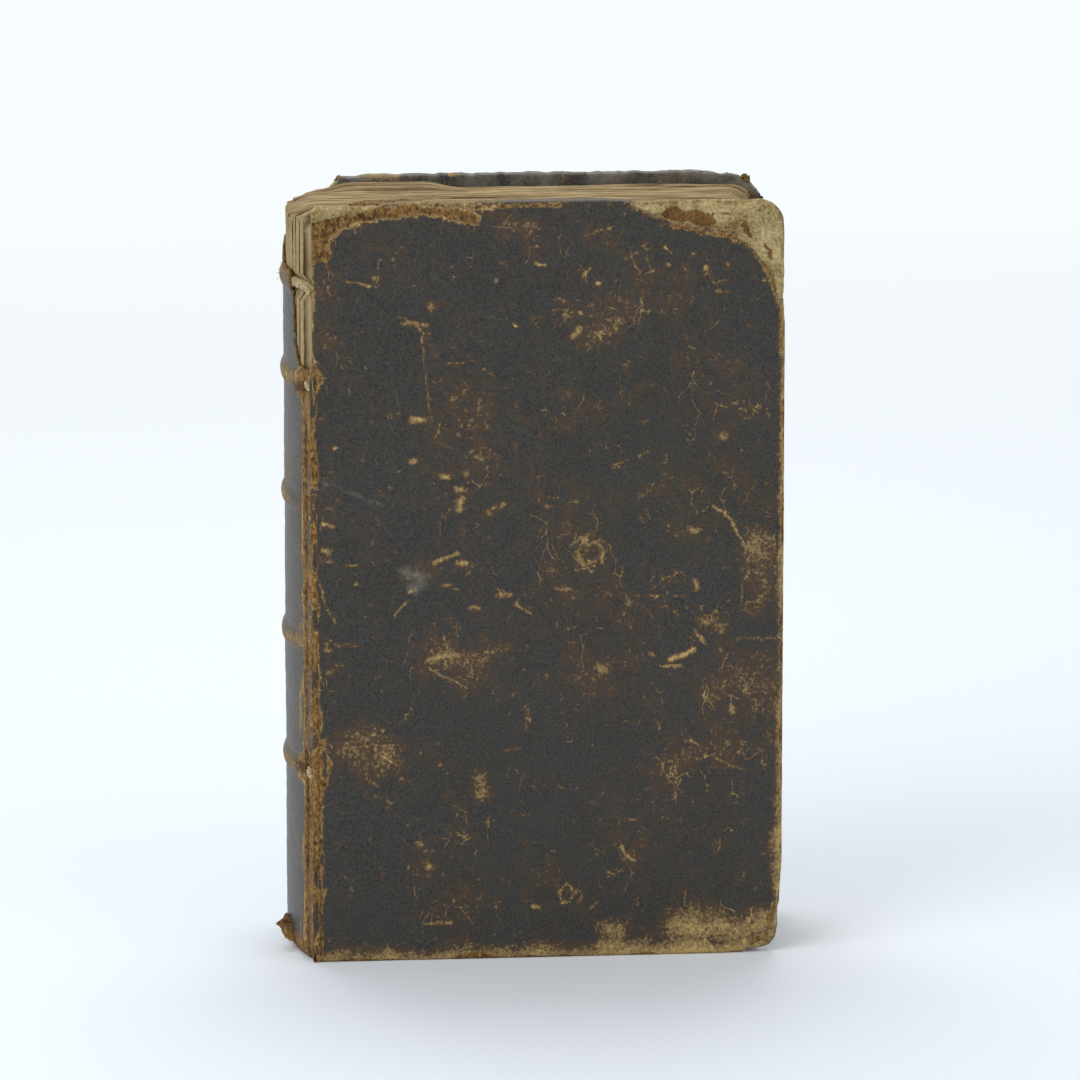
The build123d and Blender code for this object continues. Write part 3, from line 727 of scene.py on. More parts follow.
def pastedown_material(light, foxed):
    """Laid paper pasted inside the cover: cream, with faint ribs 6 mm apart and brown foxing."""
    material, tree, place = new_material("laid pastedown paper")
    colour = mix(tree, slope(tree, noise(tree, place, 7, 6.0, 0.65), 0.52, 0.78), light, foxed)
    inputs = {"Vector": place, "Scale": per_mm(18), "Distortion": 0.4}
    laid = add(tree, "ShaderNodeTexWave", inputs, bands_direction="Z").outputs["Fac"]
    finish_material(tree, colour, 0.9, laid, 0.3, 0.05)
    return material


# Settings


def hex_setting(name, hex_colour, description):
    """A colour that the panel shows, stored as an sRGB hex value."""
    return bpy.props.StringProperty(name=name, default=hex_colour, description=description)


def number_setting(name, default, description, **limits):
    """A length, level or other number that the panel shows."""
    return bpy.props.FloatProperty(name=name, default=default, description=description, **limits)


def count_setting(name, default, description):
    """A whole number that the panel shows."""
    return bpy.props.IntProperty(name=name, default=default, description=description)


class CalfSettings(bpy.types.PropertyGroup):
    """Calf of the covers and the spine."""

    cell: number_setting("Mesh cell", 0.46, "Width of a cell on the covers, in mm", min=0.3)
    spine_cell: number_setting("Spine mesh cell", 0.38, "Width of a cell on the spine, in mm", min=0.3)
    edge_round: number_setting("Edge round", 1.1, "Radius of the calf over the edges, in mm", min=0.7)
    cockle: number_setting("Cockle", 0.14, "Height of the covers' slow waves, in mm")
    grain: number_setting("Grain height", 0.12, "Height of the calf's grain, in mm")
    dark: hex_setting("Dark stain", "#3f3f3c", "Stain of the covers")
    bluish: hex_setting("Cool stain", "#3d3c38", "Cooler clouds in the stain")
    brown: hex_setting("Rubbed brown", "#4f3c2a", "Calf whose stain is rubbed")
    tan: hex_setting("Chipped tan", "#84704c", "Calf whose stain is gone")
    bright: hex_setting("Bright chip", "#b59a62", "Freshest chips")
    raw_light: hex_setting("Suede light", "#a37e48", "Lighter fibres of torn calf")
    raw_dark: hex_setting("Suede dark", "#3d2412", "Darker fibres of torn calf")
    spine_dark: hex_setting("Spine stain", "#45433e", "Stain of the spine")
    spine_cool: hex_setting("Spine cool stain", "#4d4b46", "Cooler clouds on the spine")


class LeafSettings(bpy.types.PropertyGroup):
    """Leaves, boards and cords."""

    rows: count_setting("Rows in a quire", 13, "Mesh rows across each quire")
    uneven: number_setting("Uneven leaves", 0.22, "How far leaf edges stand up, in mm")
    strands: count_setting("Strands", 3, "Strands twisted into a cord")
    pitch: number_setting("Twist pitch", 0.006, "Length of one turn of the cord's twist", unit="LENGTH")
    fibres: count_setting("Loose fibres", 70, "Fibres that stand out of each cord")
    page: hex_setting("Page", "#c8b68c", "Face of a leaf")
    edge_light: hex_setting("Edge light", "#b29d74", "Paler cut edges")
    edge_dark: hex_setting("Edge dark", "#4c3b25", "Dust between the leaves")
    # Fold dark is painted shade in the hollows between the quires, and the darker crumbs of glue on the folds
    fold_light: hex_setting("Fold light", "#b09e72", "Crests of the quire folds")
    fold_dark: hex_setting("Fold dark", "#493820", "Hollows between the quires")
    board_light: hex_setting("Board light", "#c6b583", "Paler pulp of the pasteboard")
    board_dark: hex_setting("Board dark", "#6d5833", "Darker pulp of the pasteboard")
    board_dirt: hex_setting("Board dirt", "#6e5430", "Brown soiling of the pasteboard")


class StageSettings(bpy.types.PropertyGroup):
    """Floor, backdrop and light."""

    floor_colour: hex_setting("Floor", "#ecf2f9", "Pale floor")
    backdrop: hex_setting("Backdrop", "#f7fdff", "Backdrop and world as the camera sees them")
    world_level: number_setting("World light", 0.50, "Strength of the even light")
    key_power: number_setting("Key light", 4.2, "Power of the softbox at the left", unit="POWER")
    top_power: number_setting("Top light", 4.6, "Power of the softbox above", unit="POWER")
    fill_power: number_setting("Fill light", 1.8, "Power of the softbox at the right", unit="POWER")


class BookSettings(bpy.types.PropertyGroup):
    """All settings of the book."""

    calf: bpy.props.PointerProperty(type=CalfSettings)
    leaf: bpy.props.PointerProperty(type=LeafSettings)
    stage: bpy.props.PointerProperty(type=StageSettings)


def book_settings():
    """The scene's settings of the book."""
    return bpy.context.scene.antique_book


def stained_calf(name, dark, cool, polish):
    """A calf material with the wear and tear that all the calf shares, made once."""
    if name in bpy.data.materials:
        return bpy.data.materials[name]
    calf = book_settings().calf
    wear = (calf.brown, calf.tan, calf.bright, calf.raw_light, calf.raw_dark, calf.grain)
    return calf_material(name, dark, cool, *wear, polish)


def cover_calf_material():
    """The covers' calf, dull from handling."""
    calf = book_settings().calf
    return stained_calf("stained cover calf", calf.dark, calf.bluish, 0.0)


def spine_calf_material():
    """The spine's calf, rubbed smooth and half polished."""
    calf = book_settings().calf
    return stained_calf("burnished spine calf", calf.spine_dark, calf.spine_cool, 0.45)


# Covers

RAW = 1.2  # raw of the calf's hidden side, which is raw all over
SEAT = 0.02  # how far pasted layers sink into each other
CRUSH_REACH = 9.0  # how far the crushed corner reaches
# Depths of wear
CHIP_DEPTH = 0.07
RAW_DEPTH = 0.16
TORN_EDGE_DEPTH = 0.30
CRACK_DEPTH = 0.35
TROUGH_DEPTH = 0.5
# Wear of the boards' edges, and the channels for the cords' ends
BOARD_EDGE_ROUND = 0.35
BOARD_CRUMBLE = 0.22
CORD_CHANNEL_DEPTH = 1.45
CORD_CHANNEL_LENGTH = 8.2
CORD_CHANNEL_HALF_WIDTH = 1.9
THINNED_SHARE = 0.56  # share of a cover's faces that stays when its hidden side is thinned
BOARD_GRID = (110, 6, 180)


def crush(x, z, depth):
    """Moves places of the back cover where its fore corner at the head is crushed and frayed."""
    reach = np.exp(-((np.hypot(COVER_WIDTH - x, COVER_HEIGHT - z) / CRUSH_REACH) ** 2))
    places = np.stack([x, z, depth], 1)
    knock = reach * (1.9 + 0.9 * ripple(places, 3.2, 121, 3))
    step = 0.9 * reach * ripple(places, 2.1, 122, 3)
    bend = 0.9 * reach * ripple(places, 3.6, 123, 3)
    return x - 0.3 * knock, z - knock - np.clip(step, 0, 2), depth + bend


def in_book(places, side):
    """Places along a cover, up and out from the book's middle, in the book's frame."""
    x, z, depth = crush(*places.T) if side > 0 else places.T
    return np.stack([x + COVER_X, side * depth, z], 1)


def round_corners(x, z, right, bottom, top, radius):
    """Draws the square fore corners of a sheet in to round ones."""
    for centre, way in ((bottom + radius, -1), (top - radius, 1)):
        across = np.clip((x - (right - radius)) / radius, 0, 1)
        along = np.clip((z - centre) * way / radius, 0, 1)
        both = (across > 0) & (along > 0)
        x = np.where(both, right - radius + radius * across * np.sqrt(1 - along**2 / 2), x)
        z = np.where(both, centre + way * radius * along * np.sqrt(1 - across**2 / 2), z)
    return x, z


def turn_in_rings(inset):
    """Rings of the calf from the face's rim round the edge to the end of the turned-in strip: offset
    from the rim, distance from the book's middle, tilt of its outward direction, share turned in."""
    inner_round = 0.7
    flat_end = TURN_IN_NEAR + inner_round
    rings = []
    for angle in np.radians((18, 36, 54, 72, 90)):
        rings.append((inset * math.sin(angle), COVER_FAR - inset * (1 - math.cos(angle)), angle, 0.0))
    for part in (0.25, 0.5, 0.75, 1.0):
        rings.append((inset, (COVER_FAR - inset) * (1 - part) + flat_end * part, math.pi / 2, 0.0))
    for angle in np.radians((30, 60, 90)):
        offset = inset - inner_round * (1 - math.cos(angle))
        rings.append((offset, TURN_IN_NEAR + inner_round * (1 - math.sin(angle)), math.pi / 2 + angle, 0.0))
    for part in (0.12, 0.3, 0.6, 1.0):
        rings.append((inset - inner_round, TURN_IN_NEAR, math.pi, part))
    return rings


def cover_sheet(calf, corner_radius):
    """Outer side of one cover's calf: its face, its three edges and its turned-in strips.

    Gives for each place: along the cover, up, distance from the book's middle, its outward
    direction and whether it is on the face; and the faces."""
    inset = calf.edge_round
    columns = round((COVER_WIDTH - inset) / calf.cell) + 1
    rows = round((COVER_HEIGHT - 2 * inset) / calf.cell) + 1
    right, bottom, top = COVER_WIDTH - inset, inset, COVER_HEIGHT - inset
    x, z = np.meshgrid(np.linspace(0, right, columns), np.linspace(bottom, top, rows))
    radius = corner_radius - inset
    x, z = round_corners(x, z, right, bottom, top, radius)
    face_number = np.arange(rows * columns).reshape(rows, columns)
    faces = [grid_faces(rows, columns)]
    places = [np.stack([x.ravel(), z.ravel(), np.full(x.size, COVER_FAR)], 1)]
    normals = [np.tile([0.0, 0.0, 1.0], (x.size, 1))]

    # The rim runs along the tail, up the fore edge and back along the head
    rim = np.concatenate([face_number[0, :], face_number[1:, -1], face_number[-1, -2::-1]])
    rim_x, rim_z = x.ravel()[rim], z.ravel()[rim]
    out = np.stack([np.gradient(rim_z), -np.gradient(rim_x)], 1)
    out /= np.linalg.norm(out, axis=1, keepdims=True)
    out[0], out[-1] = (0, -1), (0, 1)
    # The turned-in strips end on the edge of a window
    window_x = rim_x / right * (COVER_WIDTH - TURN_IN_WIDTH)
    window_x = np.where(np.abs(out[:, 0]) > 0.99, COVER_WIDTH - TURN_IN_WIDTH, window_x)
    share = (rim_z - bottom) / (top - bottom)
    window_z = np.where(
        rim_x >= right - 1e-6 - radius,
        TURN_IN_WIDTH + share * (COVER_HEIGHT - 2 * TURN_IN_WIDTH),
        np.clip(rim_z, TURN_IN_WIDTH, COVER_HEIGHT - TURN_IN_WIDTH),
    )
    last, count = rim, rows * columns
    for offset, depth, tilt, part in turn_in_rings(inset):
        ring_x = (rim_x + out[:, 0] * offset) * (1 - part) + window_x * part
        ring_z = (rim_z + out[:, 1] * offset) * (1 - part) + window_z * part
        places.append(np.stack([ring_x, ring_z, np.full(rim.size, depth)], 1))
        normals.append(np.concatenate([out * math.sin(tilt), np.full((rim.size, 1), math.cos(tilt))], 1))
        number = count + np.arange(rim.size)
        faces.append(np.stack([last[:-1], number[:-1], number[1:], last[1:]], 1))
        last = number
        count += rim.size
    on_face = np.arange(count) < rows * columns
    return np.concatenate(places), np.concatenate(normals), on_face, np.concatenate(faces)


def draw_to_tear(places, near, ragged, lost, cell):
    """Draws the stepped rim of a hole onto the ragged line of its tear."""
    x, z = places[:, 0], places[:, 1]
    step = 0.05
    for outline in lost:
        spots = near[np.abs(outline_distance(x[near], z[near], outline)) < 3 * cell]
        here = outline_distance(x[spots], z[spots], outline)
        slope_x = (outline_distance(x[spots] + step, z[spots], outline) - here) / step
        slope_z = (outline_distance(x[spots], z[spots] + step, outline) - here) / step
        pull = np.clip(ragged[spots], 0, cell)
        places[spots, 0] -= slope_x * pull * 0.8
        places[spots, 1] -= slope_z * pull * 0.8


def build_cover_calf(name, side, corner_radius, lost, looks, seed):
    """One cover's calf as a closed shell that is torn, worn and cockled."""
    calf = book_settings().calf
    places, normals, on_face, faces = cover_sheet(calf, corner_radius)
    x, z = places[:, 0], places[:, 1]
    distance = np.minimum.reduce([outline_distance(x, z, outline) for outline in lost])
    ragged = distance + 0.45 * ripple(places[:, :2], 2.6, seed, 4)
    faces = faces[(ragged[faces] > 0).all(axis=1)]
    rim = np.unique(free_edges(faces))
    draw_to_tear(places, rim[ragged[rim] < 1.6 * calf.cell], ragged, lost, calf.cell)
    lift, fields = looks(x, z, ragged, on_face)
    outer = places + normals * lift[:, None]
    turned_in = places[:, 2] < TURN_IN_NEAR + 0.01
    thickness = np.where(turned_in, BOARD_NEAR - TURN_IN_NEAR - SEAT, SPINE_CALF)
    inner = places - normals * thickness[:, None]
    inner[:, 2] = np.clip(inner[:, 2], BOARD_NEAR - SEAT, BOARD_FAR + SEAT)
    fields["inner"] = np.zeros(len(places))
    hidden = {"raw": RAW, "inner": 1.0}
    piece = closed_sheet(name, faces, in_book(outer, side), in_book(inner, side), fields, hidden)
    thin_inner_side(piece)
    return piece


def thin_inner_side(piece):
    """Merges the hidden inner side of a shell into few faces."""
    values = np.zeros(len(piece.data.vertices), np.float32)
    piece.data.attributes["inner"].data.foreach_get("value", values)
    hidden = piece.vertex_groups.new(name="hidden side")
    hidden.add(np.flatnonzero(values > 0.5).tolist(), 1.0, "REPLACE")
    fewer = piece.modifiers.new("Fewer Faces", "DECIMATE")
    fewer.ratio = THINNED_SHARE
    fewer.vertex_group = hidden.name
    fewer.vertex_group_factor = 1000.0
    graph = bpy.context.evaluated_depsgraph_get()
    thinned = bpy.data.meshes.new_from_object(piece.evaluated_get(graph))
    piece.modifiers.remove(fewer)
    piece.vertex_groups.clear()
    piece.data = thinned
    thinned.attributes.remove(thinned.attributes["inner"])


def front_cover_looks(x, z, ragged, on_face):
    """Relief and wear of the front cover's calf, from the photograph."""
    calf = book_settings().calf
    flat = np.stack([x, z], 1)
    from_fore, from_head = COVER_WIDTH - x, COVER_HEIGHT - z
    worn = mark_field(x, z, CHIPS)
    for u, v, radius, strength in SPECKS:
        spot_x, spot_z = cover_point(u, v)
        worn = np.maximum(worn, strength * (1 - np.hypot(x - spot_x, z - spot_z) / (2 * radius * PIXEL)))
    chips = np.clip(worn, 0, 1)
    rubbed = mark_field(x, z, RUBBED) * (1 + 0.5 * ripple(flat, 9, 11, 4))
    # Edges: the tail is rubbed widest, the head between two losses, the fore edge in a thin line
    tail = 1.12 * (1 - z / (5.0 + 2.2 * ripple(flat, 7, 21, 4)))
    tail = tail + np.clip(smooth_step(x, 40, 95) * 0.35 * (1 - z / 7), 0, 1)
    middle_head = smooth_step(x, 12, 16) * (1 - smooth_step(x, 32, 38))
    head_width = 0.9 + 2.6 * middle_head + 0.5 * ripple(flat, 6, 22, 3)
    head = (0.45 + 0.2 * middle_head) * (1 - from_head / head_width)
    low_fore = 1 - smooth_step(z, 50, 62)
    upper_fore = smooth_step(z, 64, 74) * (1 - smooth_step(z, 142, 147))
    fore_width = 1.2 + 1.6 * low_fore + 0.9 * upper_fore + 0.9 * ripple(flat, 8, 23, 4)
    fore = (0.9 + 0.35 * np.maximum(low_fore, upper_fore)) * (1 - from_fore / np.maximum(fore_width, 0.4))
    # The rim of each loss is rubbed pale, and raw calf shows beside the joint
    worn = np.maximum.reduce([worn, rubbed, tail, head, fore, 1.15 - ragged / 1.1])
    finish_edge = path_on_cover(FINISH_EDGE)
    finish_edge = finish_edge[np.argsort(finish_edge[:, 1])]
    edge_x = np.interp(z, finish_edge[:, 1], finish_edge[:, 0])
    off_finish = edge_x + 0.55 * ripple(flat * [1.0, 0.5], 1.8, 31, 4) - x
    islands = smooth_step(ripple(flat * [1.0, 0.22], 1.5, 38, 3), 0.15, 0.4) * (x > 0.7) * (x < 3.2)
    off_finish = off_finish - 1.6 * islands
    suede = mark_field(x, z, SUEDE) + 0.35 * ripple(flat, 1.6, 33, 4)
    from_edge = np.minimum(z, from_fore + 0.5) - 0.7 - 1.3 * ripple(flat, 6, 39, 4)
    raw = [smooth_step(off_finish, -0.15, 0.25), smooth_step(suede, 0.45, 0.8)]
    raw = np.maximum.reduce([*raw, 0.85 * smooth_step(-from_edge, -0.2, 0.5)])
    # The knot-shaped scab in the middle of the cover
    knot_x, knot_z = cover_point(*KNOT)
    knot_r = np.hypot((x - knot_x) / 3.9, (z - knot_z) / 3.4) + 0.22 * ripple(flat, 2.4, 36, 3)
    knot_rim = np.exp(-(((knot_r - 0.8) / 0.22) ** 2))
    rubbed_rim = 0.85 * knot_rim * smooth_step(ripple(flat, 1.4, 37, 3), -0.3, 0.4)
    pale = [0.9 - np.abs(off_finish) / 0.9, 0.85 * smooth_step(suede, 0.15, 0.5), rubbed_rim]
    worn = np.maximum.reduce([worn, *pale])
    waves = calf.cockle * ripple(flat, 38, 3, 3) + 0.035 * ripple(flat, 5, 4, 3)
    waves = waves * smooth_step(np.minimum.reduce([z, from_fore, from_head]), 0, 6)
    pressed = -CHIP_DEPTH * smooth_step(chips, 0.3, 0.8) - RAW_DEPTH * raw
    thinned = -TORN_EDGE_DEPTH * np.clip(1 - ragged / 1.3, 0, 1)
    knot = 0.6 * knot_rim - 0.3 * (knot_r < 0.6)
    edge_lift = 0.06 * ripple(flat, 4, 5, 3) - 0.42 * np.clip(1 - ragged / 6, 0, 1)
    lift = np.where(on_face, waves + pressed + thinned + knot, edge_lift)
    soil = 0.45 * smooth_step(ripple(flat, 2.2, 35, 4), 0.15, 0.8) * raw
    soil = soil + 0.22 * raw * smooth_step(z, COVER_HEIGHT - 14, COVER_HEIGHT - 10)
    haze = np.clip(mark_field(x, z, HAZE), 0, 1)
    return lift, {"worn": worn, "raw": raw, "haze": haze, "soil": soil}


def back_cover_looks(x, z, ragged, on_face):
    """Relief, wear and painted sheen of the back cover's calf. The photograph hides its face, which stays
    plain.
    """
    calf = book_settings().calf
    flat = np.stack([x, z], 1)
    waves = calf.cockle * ripple(flat, 40, 53, 3) + 0.035 * ripple(flat, 5, 54, 3)
    border = np.minimum.reduce([z, COVER_WIDTH - x, COVER_HEIGHT - z])
    rubbed = 0.28 * smooth_step(ripple(flat, 11, 61, 4), 0.2, 0.9)
    at_head = smooth_step(z, COVER_HEIGHT - 5, COVER_HEIGHT - 2)
    patches = smooth_step(ripple(flat, 6, 65, 4), 0.15, 0.6)
    edge = 0.85 - 0.7 * at_head + 0.9 * at_head * patches
    edge = edge * (1 - border / (1.6 + 0.8 * ripple(flat, 7, 62, 3)))
    corner = 1.0 - np.hypot(COVER_WIDTH - x, np.minimum(z, COVER_HEIGHT - z)) / 9
    beside_joint = 0.9 + 0.6 * ripple(flat, 4, 63, 4) - x
    raw = smooth_step(beside_joint, -0.15, 0.25)
    worn = np.maximum.reduce([rubbed, edge, corner * 0.9, 1.1 - ragged, 0.8 - np.abs(beside_joint)])
    lift = np.where(
        on_face,
        waves * smooth_step(border, 0, 6) - 0.14 * raw - TORN_EDGE_DEPTH * np.clip(1 - ragged / 1.3, 0, 1),
        (0.06 + 0.22 * at_head) * ripple(flat, 3.2, 55, 4) - 0.3 * np.clip(1 - ragged / 6, 0, 1),
    )
    # Painted sheen: a grey band along the head edge, where light grazes it
    haze = at_head * (0.55 + 0.6 * ripple(flat, 4, 66, 4))
    return lift, {"worn": worn, "raw": raw, "haze": haze, "soil": 0.3 * raw}


class BOOK_OT_cover_calf(bpy.types.Operator):
    """Covers both boards in worn dark calf"""

    bl_idname = "book.cover_calf"
    bl_label = "Calf of the Covers"

    def execute(self, context):
        material = cover_calf_material()
        lost = [path_on_cover(points) for points in (LOST_HEAD_SPINE, LOST_HEAD_FORE, LOST_TAIL_FORE)]
        front = build_cover_calf("front_calf", -1, FRONT_CORNER, lost, front_cover_looks, 41)
        dress(front, material, "front_cover", "cover_calf", "front_cover_leather")
        back = build_cover_calf("back_calf", 1, BACK_CORNER, [np.array(BROKEN_CORNER)], back_cover_looks, 43)
        dress(back, material, "back_cover", "cover_calf", "back_cover_leather")
        return {"FINISHED"}


def build_board(name, side, corner_radius, notch, swell):
    """One pasteboard with worn, crumbled corners and edges, swollen where the calf has gone."""
    leather = COVER_HIGH[0] - BOARD_HIGH[0]
    width, height = COVER_WIDTH - leather, COVER_HEIGHT - 2 * leather
    shares, faces = box_shell(BOARD_GRID)
    x, y, z = shares[:, 0] * width, shares[:, 1], shares[:, 2] * height
    x, z = round_corners(x, z, width, 0, height, corner_radius - leather)
    # The spine corner at the head is broken off
    z = z - np.clip(z - (height - notch[1]) - x * notch[1] / notch[0], 0, None)
    # Edges are rounded by wear
    middle = np.abs(y - 0.5) * 2
    flat = np.stack([x, y * 2.6, z], 1)
    soft = np.clip(1 - np.minimum.reduce([z, width - x, height - z]) / 0.9, 0, 1)
    depth = BOARD_NEAR + 0.05 + (BOARD_FAR - BOARD_NEAR - 0.08) * y
    depth = depth + np.where(y > 0.5, -1, 1) * BOARD_EDGE_ROUND * soft * middle
    shrink = 0.18 * middle * soft + BOARD_CRUMBLE * (0.5 + 0.5 * ripple(flat, 1.3, 71, 3)) * soft
    bare = smooth_step(np.minimum(x - (width - 30), z - (height - 24)), 0, 6) * swell
    x = x + bare * 0.55 * smooth_step(x, width - 3, width)
    z = z + bare * 0.30 * smooth_step(z, height - 3, height)
    x = x - np.sign(x - width / 2) * shrink * (x > 1)
    z = z - np.sign(z - height / 2) * shrink
    # Channels for the cords' ends run in from the joint
    outer_face = y > 0.99
    to_cord = np.min([np.abs(z + leather - cord) for cord in CORD_HEIGHTS], axis=0)
    channel = outer_face & (x < CORD_CHANNEL_LENGTH) & (to_cord < CORD_CHANNEL_HALF_WIDTH)
    depth = np.where(channel, depth - CORD_CHANNEL_DEPTH, depth)
    depth = depth + np.where(outer_face & ~channel, 0.03 * ripple(flat, 0.9, 72, 2), 0)
    z = z + leather
    skin = mark_field(x + leather, z, CLINGING_CALF) if side < 0 else 0 * x
    piece = make_piece(name, in_book(np.stack([x, z, depth], 1), side), faces, {"skin": skin})
    close_shell(piece)
    return piece


class BOOK_OT_boards(bpy.types.Operator):
    """Makes both pasteboards with crumbled corners"""

    bl_idname = "book.boards"
    bl_label = "Pasteboards"

    def execute(self, context):
        leaf = book_settings().leaf
        material = pasteboard_material(leaf.board_light, leaf.board_dark, leaf.board_dirt)
        for name, side, radius, notch, swell in (
            ("front", -1, FRONT_CORNER, (1.0, 1.2), 1.0),
            ("back", 1, BACK_CORNER, (8.0, 9.0), 0.0),
        ):
            board = build_board(f"{name}_pasteboard", side, radius, notch, swell)
            dress(board, material, f"{name}_cover", "pasteboard", f"{name}_board")
        return {"FINISHED"}


# Spine


def band_surface(angle, z):
    """Distance of the raised bands' surface from the spine's centre line."""
    radius = np.full(np.shape(z), -1e3)
    for height in CORD_HEIGHTS:
        across = np.clip(1 - ((z - height) / BAND_HALF_WIDTH) ** 2, 0, 1)
        bump = BAND_RADIUS - BAND_DEPTH + BAND_DEPTH * np.sqrt(across)
        sideways = BAND_FADE * np.sin(angle)
        reach = BAND_FADE * np.cos(angle) + np.sqrt(np.clip(bump**2 - sideways**2, 0, None))
        radius = np.where(across > 0, np.maximum(radius, reach), radius)
    return radius


# Heights of the bands that are worn through to the cord near the front joint
WORN_BANDS = (CORD_HEIGHTS[1], CORD_HEIGHTS[4])

# Torn edge of the spine's calf: (share of half the thickness from the middle, height in mm)
SPINE_TEAR = (
    (-1.10, 129.6), (-0.95, 128.7), (-0.74, 129.1), (-0.62, 133.7), (-0.57, 141.0), (-0.50, 146.5),
    (-0.40, 148.9), (-0.15, 148.4), (0.10, 150.1), (0.45, 153.2), (0.80, 151.2), (1.10, 152.5),
)

# Cracks and holes in the spine's calf: (half width mm, strength, points of (across mm, height))
SPINE_CRACKS = (
    (1.3, 1.2, ((-17.5, 124.6), (-13.0, 124.2))),
    (1.5, 1.2, ((-18.5, 41.4), (-13.0, 41.8))),
    (0.7, 0.8, ((-18.2, 120.0), (-17.2, 108.0), (-17.8, 96.0))),
    (0.7, 0.8, ((-17.9, 92.0), (-17.0, 80.0), (-17.6, 70.0))),
    (0.6, 0.7, ((-17.8, 66.0), (-17.2, 52.0), (-18.0, 44.0))),
    (0.6, 0.7, ((-18.0, 38.0), (-17.0, 26.0), (-17.6, 14.0), (-18.0, 6.0))),
    (0.5, 0.7, ((17.8, 150.0), (17.0, 128.0), (17.7, 110.0), (17.2, 86.0), (17.9, 60.0))),
    (0.5, 0.7, ((17.9, 56.0), (17.1, 34.0), (17.8, 10.0))),
)


def build_spine_calf():
    """The spine's calf: a curved shell, raised over the cords, torn at the head, with the tail cap
    turned in below."""
    calf = book_settings().calf
    half_arc = HALF_ANGLE * SPINE_RADIUS
    top = SPINE_HIGH[2] + 2
    columns = round(2 * half_arc / calf.spine_cell) + 1
    lip_rows = np.linspace(-TAIL_LIP_WIDTH, 0, 6)[:-1]
    heights = np.concatenate([lip_rows, np.linspace(0, top, round(top / calf.spine_cell) + 1)])
    angle, z = np.meshgrid(np.linspace(-HALF_ANGLE, HALF_ANGLE, columns), heights)
    angle, z = angle.ravel(), z.ravel()
    # Heights below 0 stand for the lip, which runs in under the leaves
    lip = np.clip(-z, 0, None)
    z = np.clip(z, 0, None)
    across = angle * SPINE_RADIUS
    flat = np.stack([across, z], 1)
    # Tail cap: the calf curls in below
    below = np.clip(1 - z / TAIL_CAP_HEIGHT, 0, 1)
    fade = 1 - (np.abs(across) / half_arc) ** 8
    plain = SPINE_RADIUS - fade * (TAIL_CAP_DEPTH * (1 - np.sqrt(np.clip(1 - below**2, 0, 1))) + lip)
    bands = band_surface(angle, z)
    blend = 0.45
    radius = plain + blend * np.logaddexp(0, (bands - plain) / blend)
    radius = radius - blend * math.log(2) * np.exp(-np.clip((plain - bands), 0, 50))
    creases = ripple(np.stack([across * 0.25, z], 1), 1.6, 81, 3)
    radius = radius + 0.05 * creases + 0.12 * ripple(flat, 14, 82, 3)
    tear_z = np.interp(across / COVER_FAR, *zip(*SPINE_TEAR))
    ragged = (tear_z - z) * 0.8 + 0.7 * ripple(flat, 3.4, 83, 4)
    crack = np.zeros(z.shape)
    for half_width, strength, points in SPINE_CRACKS:
        path = np.array(points)
        crack = np.maximum(crack, strength * (1 - line_distance(across, z, path) / (2 * half_width)))
    crack = crack + 0.12 * ripple(flat, 1.4, 84, 3)
    curled = 0.12 * np.clip(1 - np.abs(ragged - 0.6) / 0.8, 0, 1)
    radius = radius - CRACK_DEPTH * smooth_step(crack, 0.45, 0.85) + curled
    # Rubbed on the bands, beside the joints, along the tear and at the tail
    on_band = np.max([np.exp(-(((z - cord) / 1.9) ** 2)) for cord in CORD_HEIGHTS], axis=0)
    middle = 1 - (np.abs(across) / COVER_FAR) ** 2
    joint = half_arc - np.abs(across)
    front = across < 0
    worn = [
        on_band * (0.42 + 0.35 * middle + 0.3 * ripple(flat, 5, 85, 3)),
        1.0 - joint / (2.6 + 0.9 * ripple(flat, 5, 86, 3)),
        1.2 - ragged / 1.6,
        0.34 * smooth_step(ripple(flat, 6, 87, 4), 0.3, 0.9),
        0.9 * (1 - z / 3.4),
    ]
    # Raw calf beside the joints: a wide, troughed strip with islands of stain at the front
    raw_width = np.where(front, 4.2, 1.5) + 0.7 * ripple(flat * [0, 1], 7, 88, 4)
    stain = ripple(flat * [1.0, 0.20], 1.4, 96, 3)
    islands = smooth_step(stain, 0.10, 0.26)
    islands = islands * smooth_step(joint, 0.4, 0.7) * (1 - smooth_step(joint, 2.2, 2.7)) * front
    strip = smooth_step(raw_width - joint, -0.2, 0.3) * (1 - islands)
    trough = np.exp(-(((joint - 3.2) / 0.6) ** 2)) * front
    trough = trough * smooth_step(ripple(flat * [0, 1], 6, 97, 3), -0.6, 0.2)
    radius = radius - TROUGH_DEPTH * trough - RAW_DEPTH * strip * (1 - islands)
    worn += [
        front * (1.1 - np.abs(raw_width - joint) / 0.7),
        front * (joint < 4) * 1.2 * np.exp(-(((stain - 0.14) / 0.14) ** 2)),
        front * 0.9 * smooth_step(ripple(flat * [1.0, 0.1], 1.6, 98, 3), 0.35, 0.8) * (joint < 7),
    ]
    raw = [strip, smooth_step(crack, 0.45, 0.8), smooth_step(1.0 - ragged, 0.2, 0.7)]
    # Raw calf round the two bands that are worn through
    for cord in WORN_BANDS:
        off_hole = np.hypot((across + 18) / 4.6, (z - cord) / 3.8) + 0.3 * ripple(flat, 2.6, 100, 3)
        raw.append(smooth_step(1 - off_hole, -0.05, 0.2))
        worn.append(1.1 - np.abs(off_hole - 1) * 4)
    raw.append(smooth_step(4.0 + 0.9 * ripple(flat, 4, 99, 4) - z, -0.2, 0.5) * front)
    worn, raw = np.maximum.reduce(worn), np.maximum.reduce(raw)
